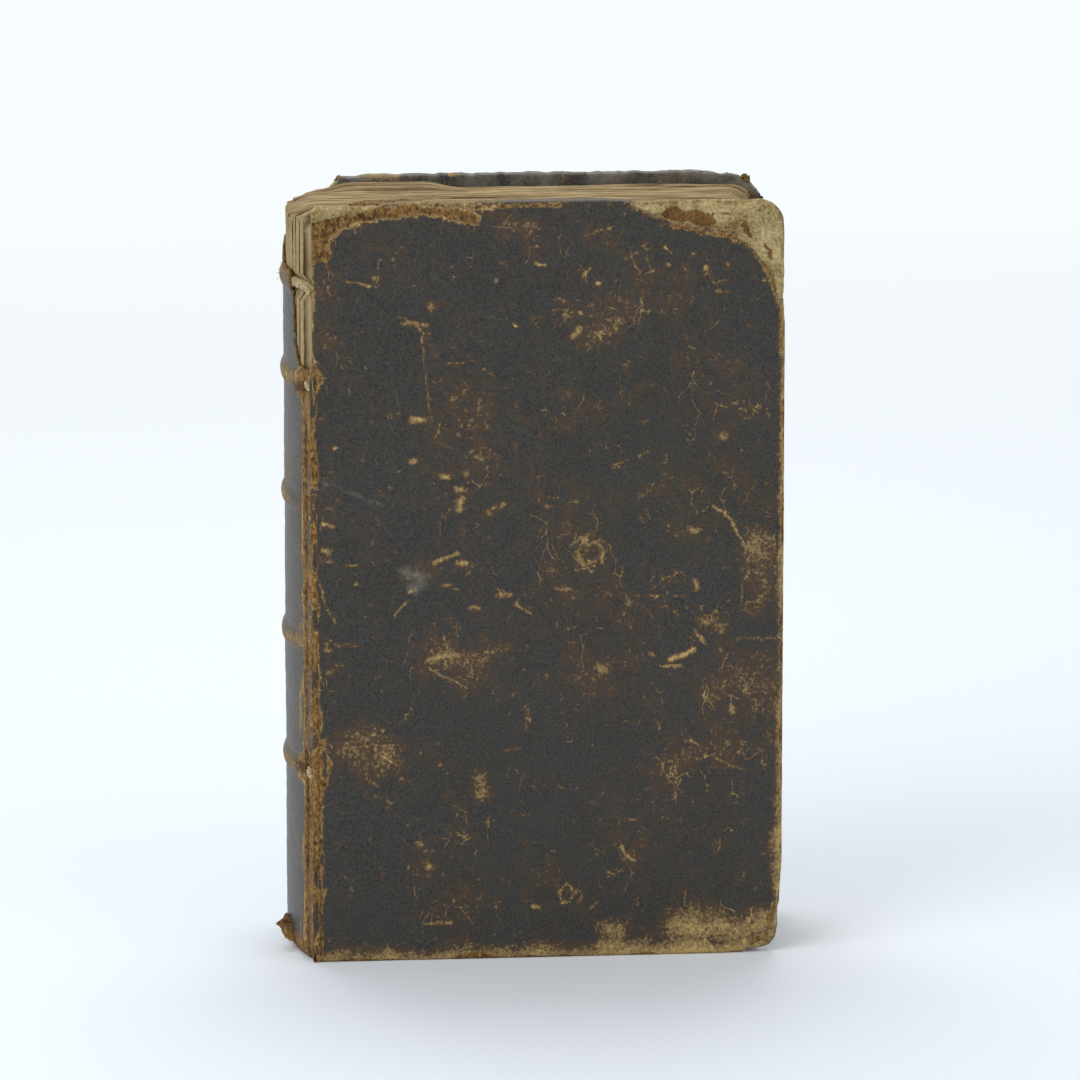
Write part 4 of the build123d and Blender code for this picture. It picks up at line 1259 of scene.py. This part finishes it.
    # Painted shade: darker in the trough beside the front joint and in the deepest cracks
    dirt_and_shade = 0.65 * trough + 0.7 * smooth_step(crack, 0.6, 1.0)
    soil = np.clip(dirt_and_shade + 0.25 * raw * smooth_step(ripple(flat, 2.4, 90, 3), 0, 0.7), 0, 0.92)
    haze = 0.06 + 0.22 * smooth_step(ripple(flat, 9, 89, 3), 0.1, 0.9)
    faces = grid_faces(len(heights), columns)
    faces = faces[(ragged[faces] > 0).all(axis=1)]
    inner_radius = np.maximum(plain - SPINE_CALF, np.where(bands > plain, bands - 1.3, 0))
    inner_radius = np.minimum(inner_radius, radius - 0.25)

    def at(distance_out):
        x = SPINE_CENTRE_X - distance_out * np.cos(angle)
        return np.stack([np.minimum(x, HINGE_X - SEAT), distance_out * np.sin(angle), z], 1)

    inner = at(inner_radius)
    # The calf lies flat below the cap, so its thickness is upwards there
    low = z < SPINE_CALF
    inner[low] = at(np.minimum(radius, inner_radius + SPINE_CALF * 0.5))[low] + [0, 0, SPINE_CALF]
    fields = {"worn": worn, "raw": raw, "haze": haze, "soil": soil}
    return closed_sheet("spine_calf", faces, at(radius), inner, fields, {"raw": RAW, "soil": 0.3})


class BOOK_OT_spine_calf(bpy.types.Operator):
    """Draws the calf over the rounded spine and its raised bands"""

    bl_idname = "book.spine_calf"
    bl_label = "Calf of the Spine"

    def execute(self, context):
        dress(build_spine_calf(), spine_calf_material(), "binding", "spine_calf", "spine_leather")
        return {"FINISHED"}


# Leaves

LEAF_COLUMNS, LEAF_ROWS = 64, 84


def build_leaves():
    """The text block: quires with sunk folds, uneven leaf edges and a hollow fore edge."""
    leaf = book_settings().leaf
    across = QUIRES * leaf.rows
    shares, faces = box_shell((LEAF_COLUMNS, across, LEAF_ROWS))
    u, v, w = shares.T
    at_fold, at_fore, at_head = u < 0.001, u > 0.999, w > 0.999
    y = (v - 0.5) * 2 * TEXT_HALF
    quire = v * QUIRES
    within = np.abs(quire - np.floor(quire) - 0.5) * 2
    number = v * across

    def chance(first, second, size, seed, octaves):
        """Ripples over two measures of the leaves."""
        return ripple(np.stack([first, second], 1), size, seed, octaves)

    uneven = leaf.uneven * chance(np.round(number) * 0.9, u * 3 + w * 2, 1.0, 91, 2)
    per_quire = 0.25 * chance(np.floor(quire), u * 0 + 1, 1.0, 92, 1)
    bottom, top = TEXT_LOW[2], TEXT_HIGH[2]
    fore_x = TEXT_HIGH[0] - FORE_HOLLOW * (1 - (y / TEXT_HALF) ** 2)
    groove = np.clip(within - 0.55, 0, 1) / 0.45 * (0.65 + 0.6 * chance(np.round(quire), w * 12, 1.0, 97, 3))
    fold_x = SPINE_CENTRE_X - np.sqrt(FOLD_RADIUS**2 - y**2) + 0.40 * np.clip(groove, 0, 1.2) ** 2
    x = fold_x * (1 - u) + fore_x * u
    z = bottom * (1 - w) + top * w
    # Wear: folds crushed at the head, leaves rounded at the fore corner, cap taper at the tail
    drop = 2.1 * np.exp(-(((x - fold_x) / 2.6) ** 2)) * (1 + 0.5 * chance(quire * 1.5, u * 0, 1.0, 93, 2))
    drop = drop + 1.4 * np.exp(-(((fore_x - x) / 1.6) ** 2))
    z = z - drop * smooth_step(z, top - 8, top)
    gaps = 0.7 * groove**3 * (0.5 + 0.5 * chance(quire, u * 4, 1.0, 95, 2))
    z = z + (uneven - 0.25 + 1.2 * per_quire - np.clip(gaps, 0, 1)) * at_head
    x = x + np.where(at_fold, 0.10 * chance(number, z * 0.35, 1.4, 94, 3), 0)
    x = x - np.where(at_fore, np.abs(uneven) * 0.7 + np.clip(per_quire, 0, 1) * 0.5, 0)
    x = x + np.where(at_fold, 0.9 * np.clip((bottom + 3.2 - z) / 3.2, 0, 1), 0)
    # The last leaves stand up beside the back cover
    behind = smooth_step(y, 9, 14) * smooth_step(x, COVER_X + 4, COVER_X + 10)
    behind = behind * (1 - smooth_step(x, COVER_X + 26, COVER_X + 34))
    z = z + 1.3 * behind * at_head
    # Channels for the sewing cords across the folds
    angle = np.arcsin(np.clip(y / FOLD_RADIUS, -1, 1))
    for cord in CORD_HEIGHTS:
        near = np.clip(1 - ((z - cord) / 1.5) ** 2, 0, 1)
        sideways = BAND_FADE * np.sin(angle)
        centre = BAND_FADE * np.cos(angle) + np.sqrt(CORD_PATH_RADIUS**2 - sideways**2)
        limit = SPINE_CENTRE_X - (centre - 1.25 * np.sqrt(near)) * np.cos(angle)
        x = np.where(at_fold & (near > 0), np.maximum(x, limit), x)
    fields = {
        "leaf": number * 0.62,
        "cut": ((w > 0.995) | (w < 0.005) | (u > 0.995)).astype(float),
        "fold": (u < 0.005).astype(float),
        "groove": groove,
        # Painted shade where the first leaves gape, near the front cover
        "slit": smooth_step(-y, 12.5, 14.5) * (1 - smooth_step(x, COVER_X + 38, COVER_X + 50)),
    }
    piece = make_piece("leaves", np.stack([x, y, z], 1), faces, fields)
    close_shell(piece)
    return piece


class BOOK_OT_leaves(bpy.types.Operator):
    """Makes the block of sewn leaves"""

    bl_idname = "book.leaves"
    bl_label = "Leaves"

    def execute(self, context):
        leaf = book_settings().leaf
        colours = (leaf.page, leaf.edge_light, leaf.edge_dark, leaf.fold_light, leaf.fold_dark)
        material = leaves_material(*colours)
        dress(build_leaves(), material, "binding", "leaves", "text_block")
        return {"FINISHED"}


# Cords

# Cords whose ends show at the front joint
SEEN_CORDS = (1, 2, 5)
CORD_SOCKETS = (
    ("Path", "NodeSocketGeometry", "INPUT"),
    ("Cord radius", "NodeSocketFloat", "INPUT"),
    ("Strands", "NodeSocketInt", "INPUT"),
    ("Pitch", "NodeSocketFloat", "INPUT"),
    ("Fibres", "NodeSocketInt", "INPUT"),
    ("Fibre length", "NodeSocketFloat", "INPUT"),
    ("Seed", "NodeSocketInt", "INPUT"),
    ("Cord", "NodeSocketGeometry", "OUTPUT"),
)
# A bent hair 1 mm long, in metres
HAIR = {
    "Resolution": 4, "Start": (0, 0, 0), "Start Handle": (0.0002, 0, 0.0004),
    "End Handle": (0.0006, 0.0002, 0.0008), "End": (0.001, 0.0003, 0.0007),
}
HAIR_RADIUS = 0.00004


def cord_tree(material):
    """Geometry nodes that twist strands round a path and let loose fibres stand out of them."""
    tree = bpy.data.node_groups.new("Twisted Cord", "GeometryNodeTree")
    for name, kind, way in CORD_SOCKETS:
        tree.interface.new_socket(name, in_out=way, socket_type=kind)
    given = add(tree, "NodeGroupInput").outputs

    def vector(operation, inputs):
        return add(tree, "ShaderNodeVectorMath", inputs, operation=operation)

    def tube(path, sides, radius):
        circle = {"Resolution": sides, "Radius": radius}
        profile = add(tree, "GeometryNodeCurvePrimitiveCircle", circle, mode="RADIUS")
        inputs = {"Curve": path, "Profile Curve": profile, "Fill Caps": True}
        return add(tree, "GeometryNodeCurveToMesh", inputs)

    path = add(tree, "GeometryNodeResampleCurve", {"Curve": given["Path"], "Count": 90})
    inputs = {"Geometry": path, "Amount": given["Strands"]}
    copies = add(tree, "GeometryNodeDuplicateElements", inputs, domain="SPLINE")
    turn_share = maths(tree, "DIVIDE", copies.outputs["Duplicate Index"], given["Strands"])
    length = add(tree, "GeometryNodeSplineParameter").outputs["Length"]
    turns = maths(tree, "DIVIDE", length, given["Pitch"])
    angle = maths(tree, "MULTIPLY", maths(tree, "ADD", turns, turn_share), 2 * math.pi)
    normal = add(tree, "GeometryNodeInputNormal")
    sideways = vector("CROSS_PRODUCT", {0: normal, 1: add(tree, "GeometryNodeInputTangent")})
    one = vector("SCALE", {0: normal, "Scale": maths(tree, "COSINE", angle)})
    two = vector("SCALE", {0: sideways, "Scale": maths(tree, "SINE", angle)})
    reach = maths(tree, "MULTIPLY", given["Cord radius"], 0.5)
    offset = vector("SCALE", {0: vector("ADD", {0: one, 1: two}), "Scale": reach})
    wound = add(tree, "GeometryNodeSetPosition", {"Geometry": copies, "Offset": offset})
    strands = tube(wound, 8, reach)
    # Loose fibres: bent hairs scattered over the strands
    inputs = {"Mesh": strands, "Density": 1.0e6, "Seed": given["Seed"]}
    points = add(tree, "GeometryNodeDistributePointsOnFaces", inputs)
    pick = add(tree, "FunctionNodeRandomValue", {"Seed": given["Seed"]}, data_type="FLOAT")
    inputs = {"A": pick.outputs[1], "B": maths(tree, "DIVIDE", given["Fibres"], 100.0)}
    chosen = add(tree, "FunctionNodeCompare", inputs, operation="LESS_THAN", data_type="FLOAT")
    inputs = {"Seed": given["Seed"], "Max": (6.28, 6.28, 6.28)}
    spin = add(tree, "FunctionNodeRandomValue", inputs, data_type="FLOAT_VECTOR")
    hair = tube(add(tree, "GeometryNodeCurvePrimitiveBezierSegment", HAIR), 3, HAIR_RADIUS)
    inputs = {
        "Points": points, "Selection": chosen, "Instance": hair, "Rotation": spin.outputs["Value"],
        "Scale": maths(tree, "MULTIPLY", given["Fibre length"], 1000.0),
    }
    hairs = add(tree, "GeometryNodeInstanceOnPoints", inputs)
    joined = add(tree, "GeometryNodeJoinGeometry")
    tree.links.new(strands.outputs[0], joined.inputs[0])
    tree.links.new(hairs.outputs[0], joined.inputs[0])
    real = add(tree, "GeometryNodeRealizeInstances", {"Geometry": joined})
    finished = add(tree, "GeometryNodeSetMaterial", {"Geometry": real, "Material": material})
    add(tree, "NodeGroupOutput", {"Cord": finished})
    return tree


def cord_path(number, height):
    """The path of one sewing cord from joint to joint, as a curve object."""
    reach = math.asin(COVER_FAR / CORD_PATH_RADIUS) * 0.96
    curve = bpy.data.curves.new(f"cord_path_{number}", "CURVE")
    curve.dimensions = "3D"
    spline = curve.splines.new("POLY")
    front = 1.0 if number in SEEN_CORDS else 0.8
    angles = np.linspace(-reach * front, reach * 0.8, 40)
    spline.points.add(len(angles) - 1)
    for point, angle in zip(spline.points, angles):
        # The torn end stands out of its hole in the calf
        out = 0.9 * math.exp(-(((angle / reach + 0.92) / 0.12) ** 2)) * (number in SEEN_CORDS[1:])
        radius = CORD_PATH_RADIUS + out
        x = min(BAND_CENTRE_X - radius * math.cos(angle), HINGE_X - CORD_RADIUS * 0.2)
        point.co = (x * MM, radius * math.sin(angle) * MM, (height - 0.5 * out) * MM, 1)
    path = bpy.data.objects.new(f"cord_path_{number}", curve)
    bpy.context.scene.collection.objects.link(path)
    return path


class BOOK_OT_cords(bpy.types.Operator):
    """Twists the five sewing cords"""

    bl_idname = "book.cords"
    bl_label = "Sewing Cords"

    def execute(self, context):
        leaf = book_settings().leaf
        material = cord_material("hemp sewing cord", "#cdbd92", "#7d6a43")
        tree = cord_tree(material)
        names = {item.name: item.identifier for item in tree.interface.items_tree}
        for number, height in enumerate(CORD_HEIGHTS, start=1):
            path = cord_path(number, height)
            modifier = path.modifiers.new("Twist", "NODES")
            modifier.node_group = tree
            bare = number == 1
            for name, value in (
                ("Cord radius", CORD_RADIUS * MM),
                ("Strands", leaf.strands),
                ("Pitch", leaf.pitch),
                ("Fibres", leaf.fibres if bare else leaf.fibres // 4),
                ("Fibre length", 1.1 * MM if bare else 0.5 * MM),
                ("Seed", number),
            ):
                modifier[names[name]] = value
            graph = context.evaluated_depsgraph_get()
            mesh = bpy.data.meshes.new_from_object(path.evaluated_get(graph))
            bpy.data.objects.remove(path)
            cord = bpy.data.objects.new(f"twisted_cord_{number}", mesh)
            context.scene.collection.objects.link(cord)
            mesh.polygons.foreach_set("use_smooth", [True] * len(mesh.polygons))
            dress(cord, material, "binding", "hemp_cord", f"sewing_cord_{number}")
        return {"FINISHED"}


# Joints and scraps


def build_joint(name, side, bottom, top, seed):
    """A strip of raw, cracked calf that bridges one joint, curving from the spine onto its cover."""
    gap = COVER_X - HINGE_X
    before, after = 1.0, 1.5
    columns, rows = 22, round((top - bottom) / 0.45)
    s, z = np.meshgrid(np.linspace(-before, gap + after, columns), np.linspace(bottom, top, rows))
    s, z = s.ravel(), z.ravel()
    flat = np.stack([s, z], 1)
    low = -before + 0.5 + 0.4 * ripple(flat * [0, 1], 2.2, seed, 4)
    high = gap + after - 0.6 + 0.5 * ripple(flat * [0, 1], 2.8, seed + 1, 4)
    s = np.clip(s, low, high)
    edge = np.minimum(s - low, high - s)
    cracks = ripple(np.stack([s * 0.9, z * 0.28], 1), 0.7, seed + 2, 3)
    lift = 0.03 + 0.22 * smooth_step(edge, 0, 0.4) + 0.10 * cracks * smooth_step(edge, 0, 0.3)
    angle = HALF_ANGLE + np.minimum(s, 0) / SPINE_RADIUS
    turn = smooth_step(s, -0.6, gap + 0.3)
    normal_x, normal_y = -np.cos(angle) * (1 - turn), np.sin(angle) * (1 - turn) + turn
    x = np.where(s < 0, SPINE_CENTRE_X - SPINE_RADIUS * np.cos(angle), HINGE_X + s)
    y = np.where(s < 0, SPINE_RADIUS * np.sin(angle), COVER_FAR)

    def at(height):
        return np.stack([x + normal_x * height, side * (y + normal_y * height), z], 1)

    stain = ripple(flat * [1.0, 0.20], 1.3, seed + 4, 3)
    worn = 0.2 + 1.1 * np.exp(-(((stain - 0.24) / 0.14) ** 2))
    # Painted shade: darker in the hollows of the cracks
    soil = 0.55 * smooth_step(-cracks, 0.1, 0.7)
    raw = 1.0 - 0.95 * smooth_step(stain, 0.22, 0.36)
    fields = {"worn": worn, "raw": raw, "haze": 0 * worn, "soil": soil}
    hidden = {"worn": worn, "raw": 1.0, "soil": soil}
    piece = closed_sheet(name, grid_faces(rows, columns), at(lift), at(-0.05), fields, hidden)
    dress(piece, cover_calf_material(), None, "spine_calf")
    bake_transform(piece)


class BOOK_OT_joints(bpy.types.Operator):
    """Bridges both joints with raw, cracked calf that curves from the spine onto the covers"""

    bl_idname = "book.joints"
    bl_label = "Cracked Joints"

    def execute(self, context):
        build_joint("front_joint_calf", -1, 2.0, 129.0, 101)
        build_joint("back_joint_calf", 1, 2.0, 150.0, 111)
        return {"FINISHED"}


# Scraps of calf that stand up: (body, root, direction along the root, direction out, length,
# width, how far it curls up in radians, seed), places in millimetres in the book's frame
TAIL_SCRAP_ANGLE = math.radians(-8)
TAIL_SCRAP_X = SPINE_CENTRE_X - (SPINE_RADIUS - 0.7) * math.cos(TAIL_SCRAP_ANGLE)
FORE_X = COVER_X + COVER_WIDTH
SCRAPS = (
    ("binding", (TAIL_SCRAP_X, -5.6, 4.0), (0.25, -0.75, -0.6), (-0.75, -0.45, 0.35), 3.4, 8.5, 0.6, 131),
    ("back_cover", (FORE_X - 4.6, 17.6, 161.2), (1, 0.2, -0.6), (0.1, 0.1, 1.0), 2.2, 3.0, 0.9, 132),
    ("back_cover", (FORE_X - 8.0, 18.2, 161.8), (1, 0.1, -0.2), (-0.1, 0.3, 1.0), 1.6, 3.4, 0.8, 133),
    ("back_cover", (FORE_X - 2.2, 17.2, 157.6), (0.5, 0.2, -1.0), (0.9, -0.1, 0.6), 1.9, 3.2, 1.0, 134),
    ("back_cover", (FORE_X - 14.5, 17.2, 163.0), (1, 0.1, 0), (0.1, -0.2, 1.0), 1.1, 4.0, 0.6, 135),
    ("back_cover", (COVER_X + 54.0, 17.6, 162.9), (1, 0.0, 0), (0.0, -0.3, 1.0), 0.9, 6.0, 0.5, 136),
    ("front_cover", (COVER_X + 17.5, -17.4, 163.2), (1, 0.02, 0.0), (0.0, 1.0, 0.38), 3.0, 19.0, -0.2, 137),
)


def scrap_looks(places, seed):
    """Wear of a scrap's calf."""
    speck = ripple(places, 1.2, seed, 3)
    soil = 0.35 * smooth_step(speck, -0.2, 0.6)
    return {"worn": 0.7 + 0.3 * speck, "raw": 0.75 + 0.6 * speck, "haze": 0 * speck, "soil": soil}


def build_scrap(number, root, along, out, length, width, curl, seed):
    """A torn scrap of calf that curls away from its root and ends ragged."""
    root, along, out = (np.array(part, float) for part in (root, along, out))
    along, out = along / np.linalg.norm(along), out / np.linalg.norm(out)
    face = np.cross(along, out)
    columns, rows = 25, 15
    a, b = np.meshgrid(np.linspace(-0.5, 0.5, columns), np.linspace(0, 1, rows))
    a, b = a.ravel(), b.ravel()
    ends = 1 - 0.30 * np.abs(a * 2) ** 2 + 0.22 * ripple(np.stack([a * 9, 0 * a], 1), 1.6, seed, 3)
    reach = b * length * ends
    taper = width * (1 - 0.35 * b + 0.10 * ripple(np.stack([b * 6, a], 1), 1.5, seed + 1, 2))
    bulge = 0.12 * ripple(np.stack([a * width, b * length], 1), 1.3, seed + 2, 3)
    thick = min(0.13 * width, 0.8) * (1 - 0.4 * b)

    def at(height):
        forward = reach * np.cos(curl * b * 0.6)
        lift = reach * np.sin(curl * b * 0.6) + height
        return root + along * (a * taper)[:, None] + out * forward[:, None] + face * lift[:, None]

    outer, inner = at(bulge + thick / 2), at(bulge - thick / 2)
    looks = (scrap_looks(side, seed + 3) for side in (outer, inner))
    return closed_sheet(f"calf_scrap_{number}", grid_faces(rows, columns), outer, inner, *looks)


class BOOK_OT_scraps(bpy.types.Operator):
    """Adds the torn scraps of calf that stand up from the tail cap and the covers' heads"""

    bl_idname = "book.scraps"
    bl_label = "Torn Scraps"

    def execute(self, context):
        for number, (body, *shape) in enumerate(SCRAPS, start=1):
            scrap = build_scrap(number, *shape)
            dress(scrap, cover_calf_material(), body, "spine_calf" if body == "binding" else "cover_calf")
        return {"FINISHED"}


class BOOK_OT_inner_papers(bpy.types.Operator):
    """Gives the pastedowns, cord ends and endband their finish"""

    bl_idname = "book.inner_papers"
    bl_label = "Pastedowns and Cord Ends"

    def execute(self, context):
        for material, *nodes in (
            (pastedown_material("#c9b88f", "#a3885a"), "front_pastedown", "back_pastedown"),
            (cord_material("hemp cord ends", "#c2b286", "#79653f"), "front_cord_slips", "back_cord_slips"),
            (cord_material("linen endband thread", "#a38c5c", "#5f4c2c"), "tail_endband"),
        ):
            for node in nodes:
                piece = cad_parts[node]
                piece.data.materials.clear()
                piece.data.materials.append(material)
        return {"FINISHED"}


# Stage

# Softboxes: (name, place in metres, width)
SOFTBOXES = (
    ("key", (-0.62, -0.55, 0.62), 0.7),
    ("top", (0.0, 0.42, 0.90), 0.6),
    ("fill", (0.75, -0.70, 0.40), 0.8),
)
# The floor, in millimetres: half its width, its front edge, where it curves up, how high it ends
FLOOR_SIDE, FLOOR_FRONT, FLOOR_CURVE, FLOOR_TOP = 2600.0, -1500.0, 900.0, 2600.0


def floor_material(floor_colour, backdrop):
    """Matt painted sweep, which shows as the plain backdrop far behind the book."""
    material, tree, place = new_material("matt painted sweep")
    diffuse = add(tree, "ShaderNodeBsdfDiffuse", {"Color": linear(floor_colour)})
    glow = add(tree, "ShaderNodeEmission", {"Color": linear(backdrop), "Strength": 1.0})
    far = slope(tree, add(tree, "ShaderNodeSeparateXYZ", {"Vector": place}).outputs["Y"], 0.10, 0.9)
    rays = add(tree, "ShaderNodeLightPath").outputs
    seen = maths(tree, "MAXIMUM", rays["Is Camera Ray"], rays["Is Glossy Ray"])
    seen = maths(tree, "MAXIMUM", seen, rays["Is Transmission Ray"])
    surface = add(tree, "ShaderNodeMixShader", {0: maths(tree, "MULTIPLY", seen, far), 1: diffuse, 2: glow})
    add(tree, "ShaderNodeOutputMaterial", {"Surface": surface})
    return material


def light_world(level, backdrop):
    """Even white light from all round, behind the backdrop that the camera sees."""
    world = bpy.data.worlds.new("soft studio light")
    bpy.context.scene.world = world
    world.use_nodes = True
    tree = world.node_tree
    tree.nodes.clear()
    rays = add(tree, "ShaderNodeLightPath").outputs
    light = add(tree, "ShaderNodeBackground", {"Color": (1.0, 1.0, 1.0, 1.0), "Strength": level})
    shown = add(tree, "ShaderNodeBackground", {"Color": linear(backdrop), "Strength": 1.0})
    seen = maths(tree, "MAXIMUM", rays["Is Camera Ray"], rays["Is Transmission Ray"])
    mixed = add(tree, "ShaderNodeMixShader", {0: seen, 1: light, 2: shown})
    add(tree, "ShaderNodeOutputWorld", {"Surface": mixed})


class BOOK_OT_stage(bpy.types.Operator):
    """Sets the pale floor and backdrop, the soft light and the photograph's camera"""

    bl_idname = "book.stage"
    bl_label = "Stage"

    def execute(self, context):
        stage = book_settings().stage
        # A floor that curves up into a backdrop, far behind the book
        profile = [(FLOOR_FRONT, 0.0), (FLOOR_CURVE, 0.0)]
        for angle in np.radians(np.linspace(0, 90, 24)):
            profile.append((FLOOR_CURVE * (1 + math.sin(angle)), FLOOR_CURVE * (1 - math.cos(angle))))
        profile.append((2 * FLOOR_CURVE, FLOOR_TOP))
        places = [(x, y, z) for y, z in profile for x in (-FLOOR_SIDE, FLOOR_SIDE)]
        faces = [(2 * k, 2 * k + 1, 2 * k + 3, 2 * k + 2) for k in range(len(profile) - 1)]
        floor = make_piece("stage_sweep", places, faces)
        floor.data.materials.append(floor_material(stage.floor_colour, stage.backdrop))
        light_world(stage.world_level, stage.backdrop)

        middle = Vector((0, 0, 0.085))
        for name, place, size in SOFTBOXES:
            data = bpy.data.lights.new(f"{name} softbox", "AREA")
            data.energy = getattr(stage, f"{name}_power")
            data.size = size
            lamp = bpy.data.objects.new(f"{name} softbox", data)
            lamp.location = place
            lamp.rotation_euler = (middle - lamp.location).to_track_quat("-Z", "Y").to_euler()
            context.scene.collection.objects.link(lamp)

        data = bpy.data.cameras.new("photograph camera")
        data.sensor_width = 36.0
        data.lens = data.sensor_width * FOCAL_PIXELS / PICTURE
        data.clip_end = 20.0
        camera = bpy.data.objects.new("photograph camera", data)
        turned = Matrix((LOOK_RIGHT, LOOK_UP, -LOOK)).transposed().to_4x4()
        camera.matrix_world = Matrix.Translation(Vector(CAMERA_PLACE * MM)) @ turned
        context.scene.collection.objects.link(camera)
        context.scene.camera = camera
        context.scene.view_settings.view_transform = "Standard"
        return {"FINISHED"}


class BOOK_PT_panel(bpy.types.Panel):
    """Lists the steps that dress the book"""

    bl_idname = "BOOK_PT_panel"
    bl_label = "Antique Book"
    bl_space_type = "VIEW_3D"
    bl_region_type = "UI"
    bl_category = "Book"

    def draw(self, context):
        for step in STEPS:
            self.layout.operator(step.bl_idname)
        book = context.scene.antique_book
        for group in (book.calf, book.leaf, book.stage):
            box = self.layout.box()
            for name in group.bl_rna.properties.keys():
                if name not in {"rna_type", "name"}:
                    box.prop(group, name)


STEPS = (
    BOOK_OT_stage,
    BOOK_OT_leaves,
    BOOK_OT_cords,
    BOOK_OT_boards,
    BOOK_OT_cover_calf,
    BOOK_OT_spine_calf,
    BOOK_OT_joints,
    BOOK_OT_scraps,
    BOOK_OT_inner_papers,
)
CLASSES = (CalfSettings, LeafSettings, StageSettings, BookSettings, *STEPS, BOOK_PT_panel)


def register():
    for cls in CLASSES:
        bpy.utils.register_class(cls)
    bpy.types.Scene.antique_book = bpy.props.PointerProperty(type=BookSettings)


def unregister():
    del bpy.types.Scene.antique_book
    for cls in reversed(CLASSES):
        bpy.utils.unregister_class(cls)


def main():
    """Dresses the whole book."""
    register()
    bpy.ops.book.stage()
    bpy.ops.book.leaves()
    bpy.ops.book.cords()
    bpy.ops.book.boards()
    bpy.ops.book.cover_calf()
    bpy.ops.book.spine_calf()
    bpy.ops.book.joints()
    bpy.ops.book.scraps()
    bpy.ops.book.inner_papers()


if __name__ == "__main__":
    main()
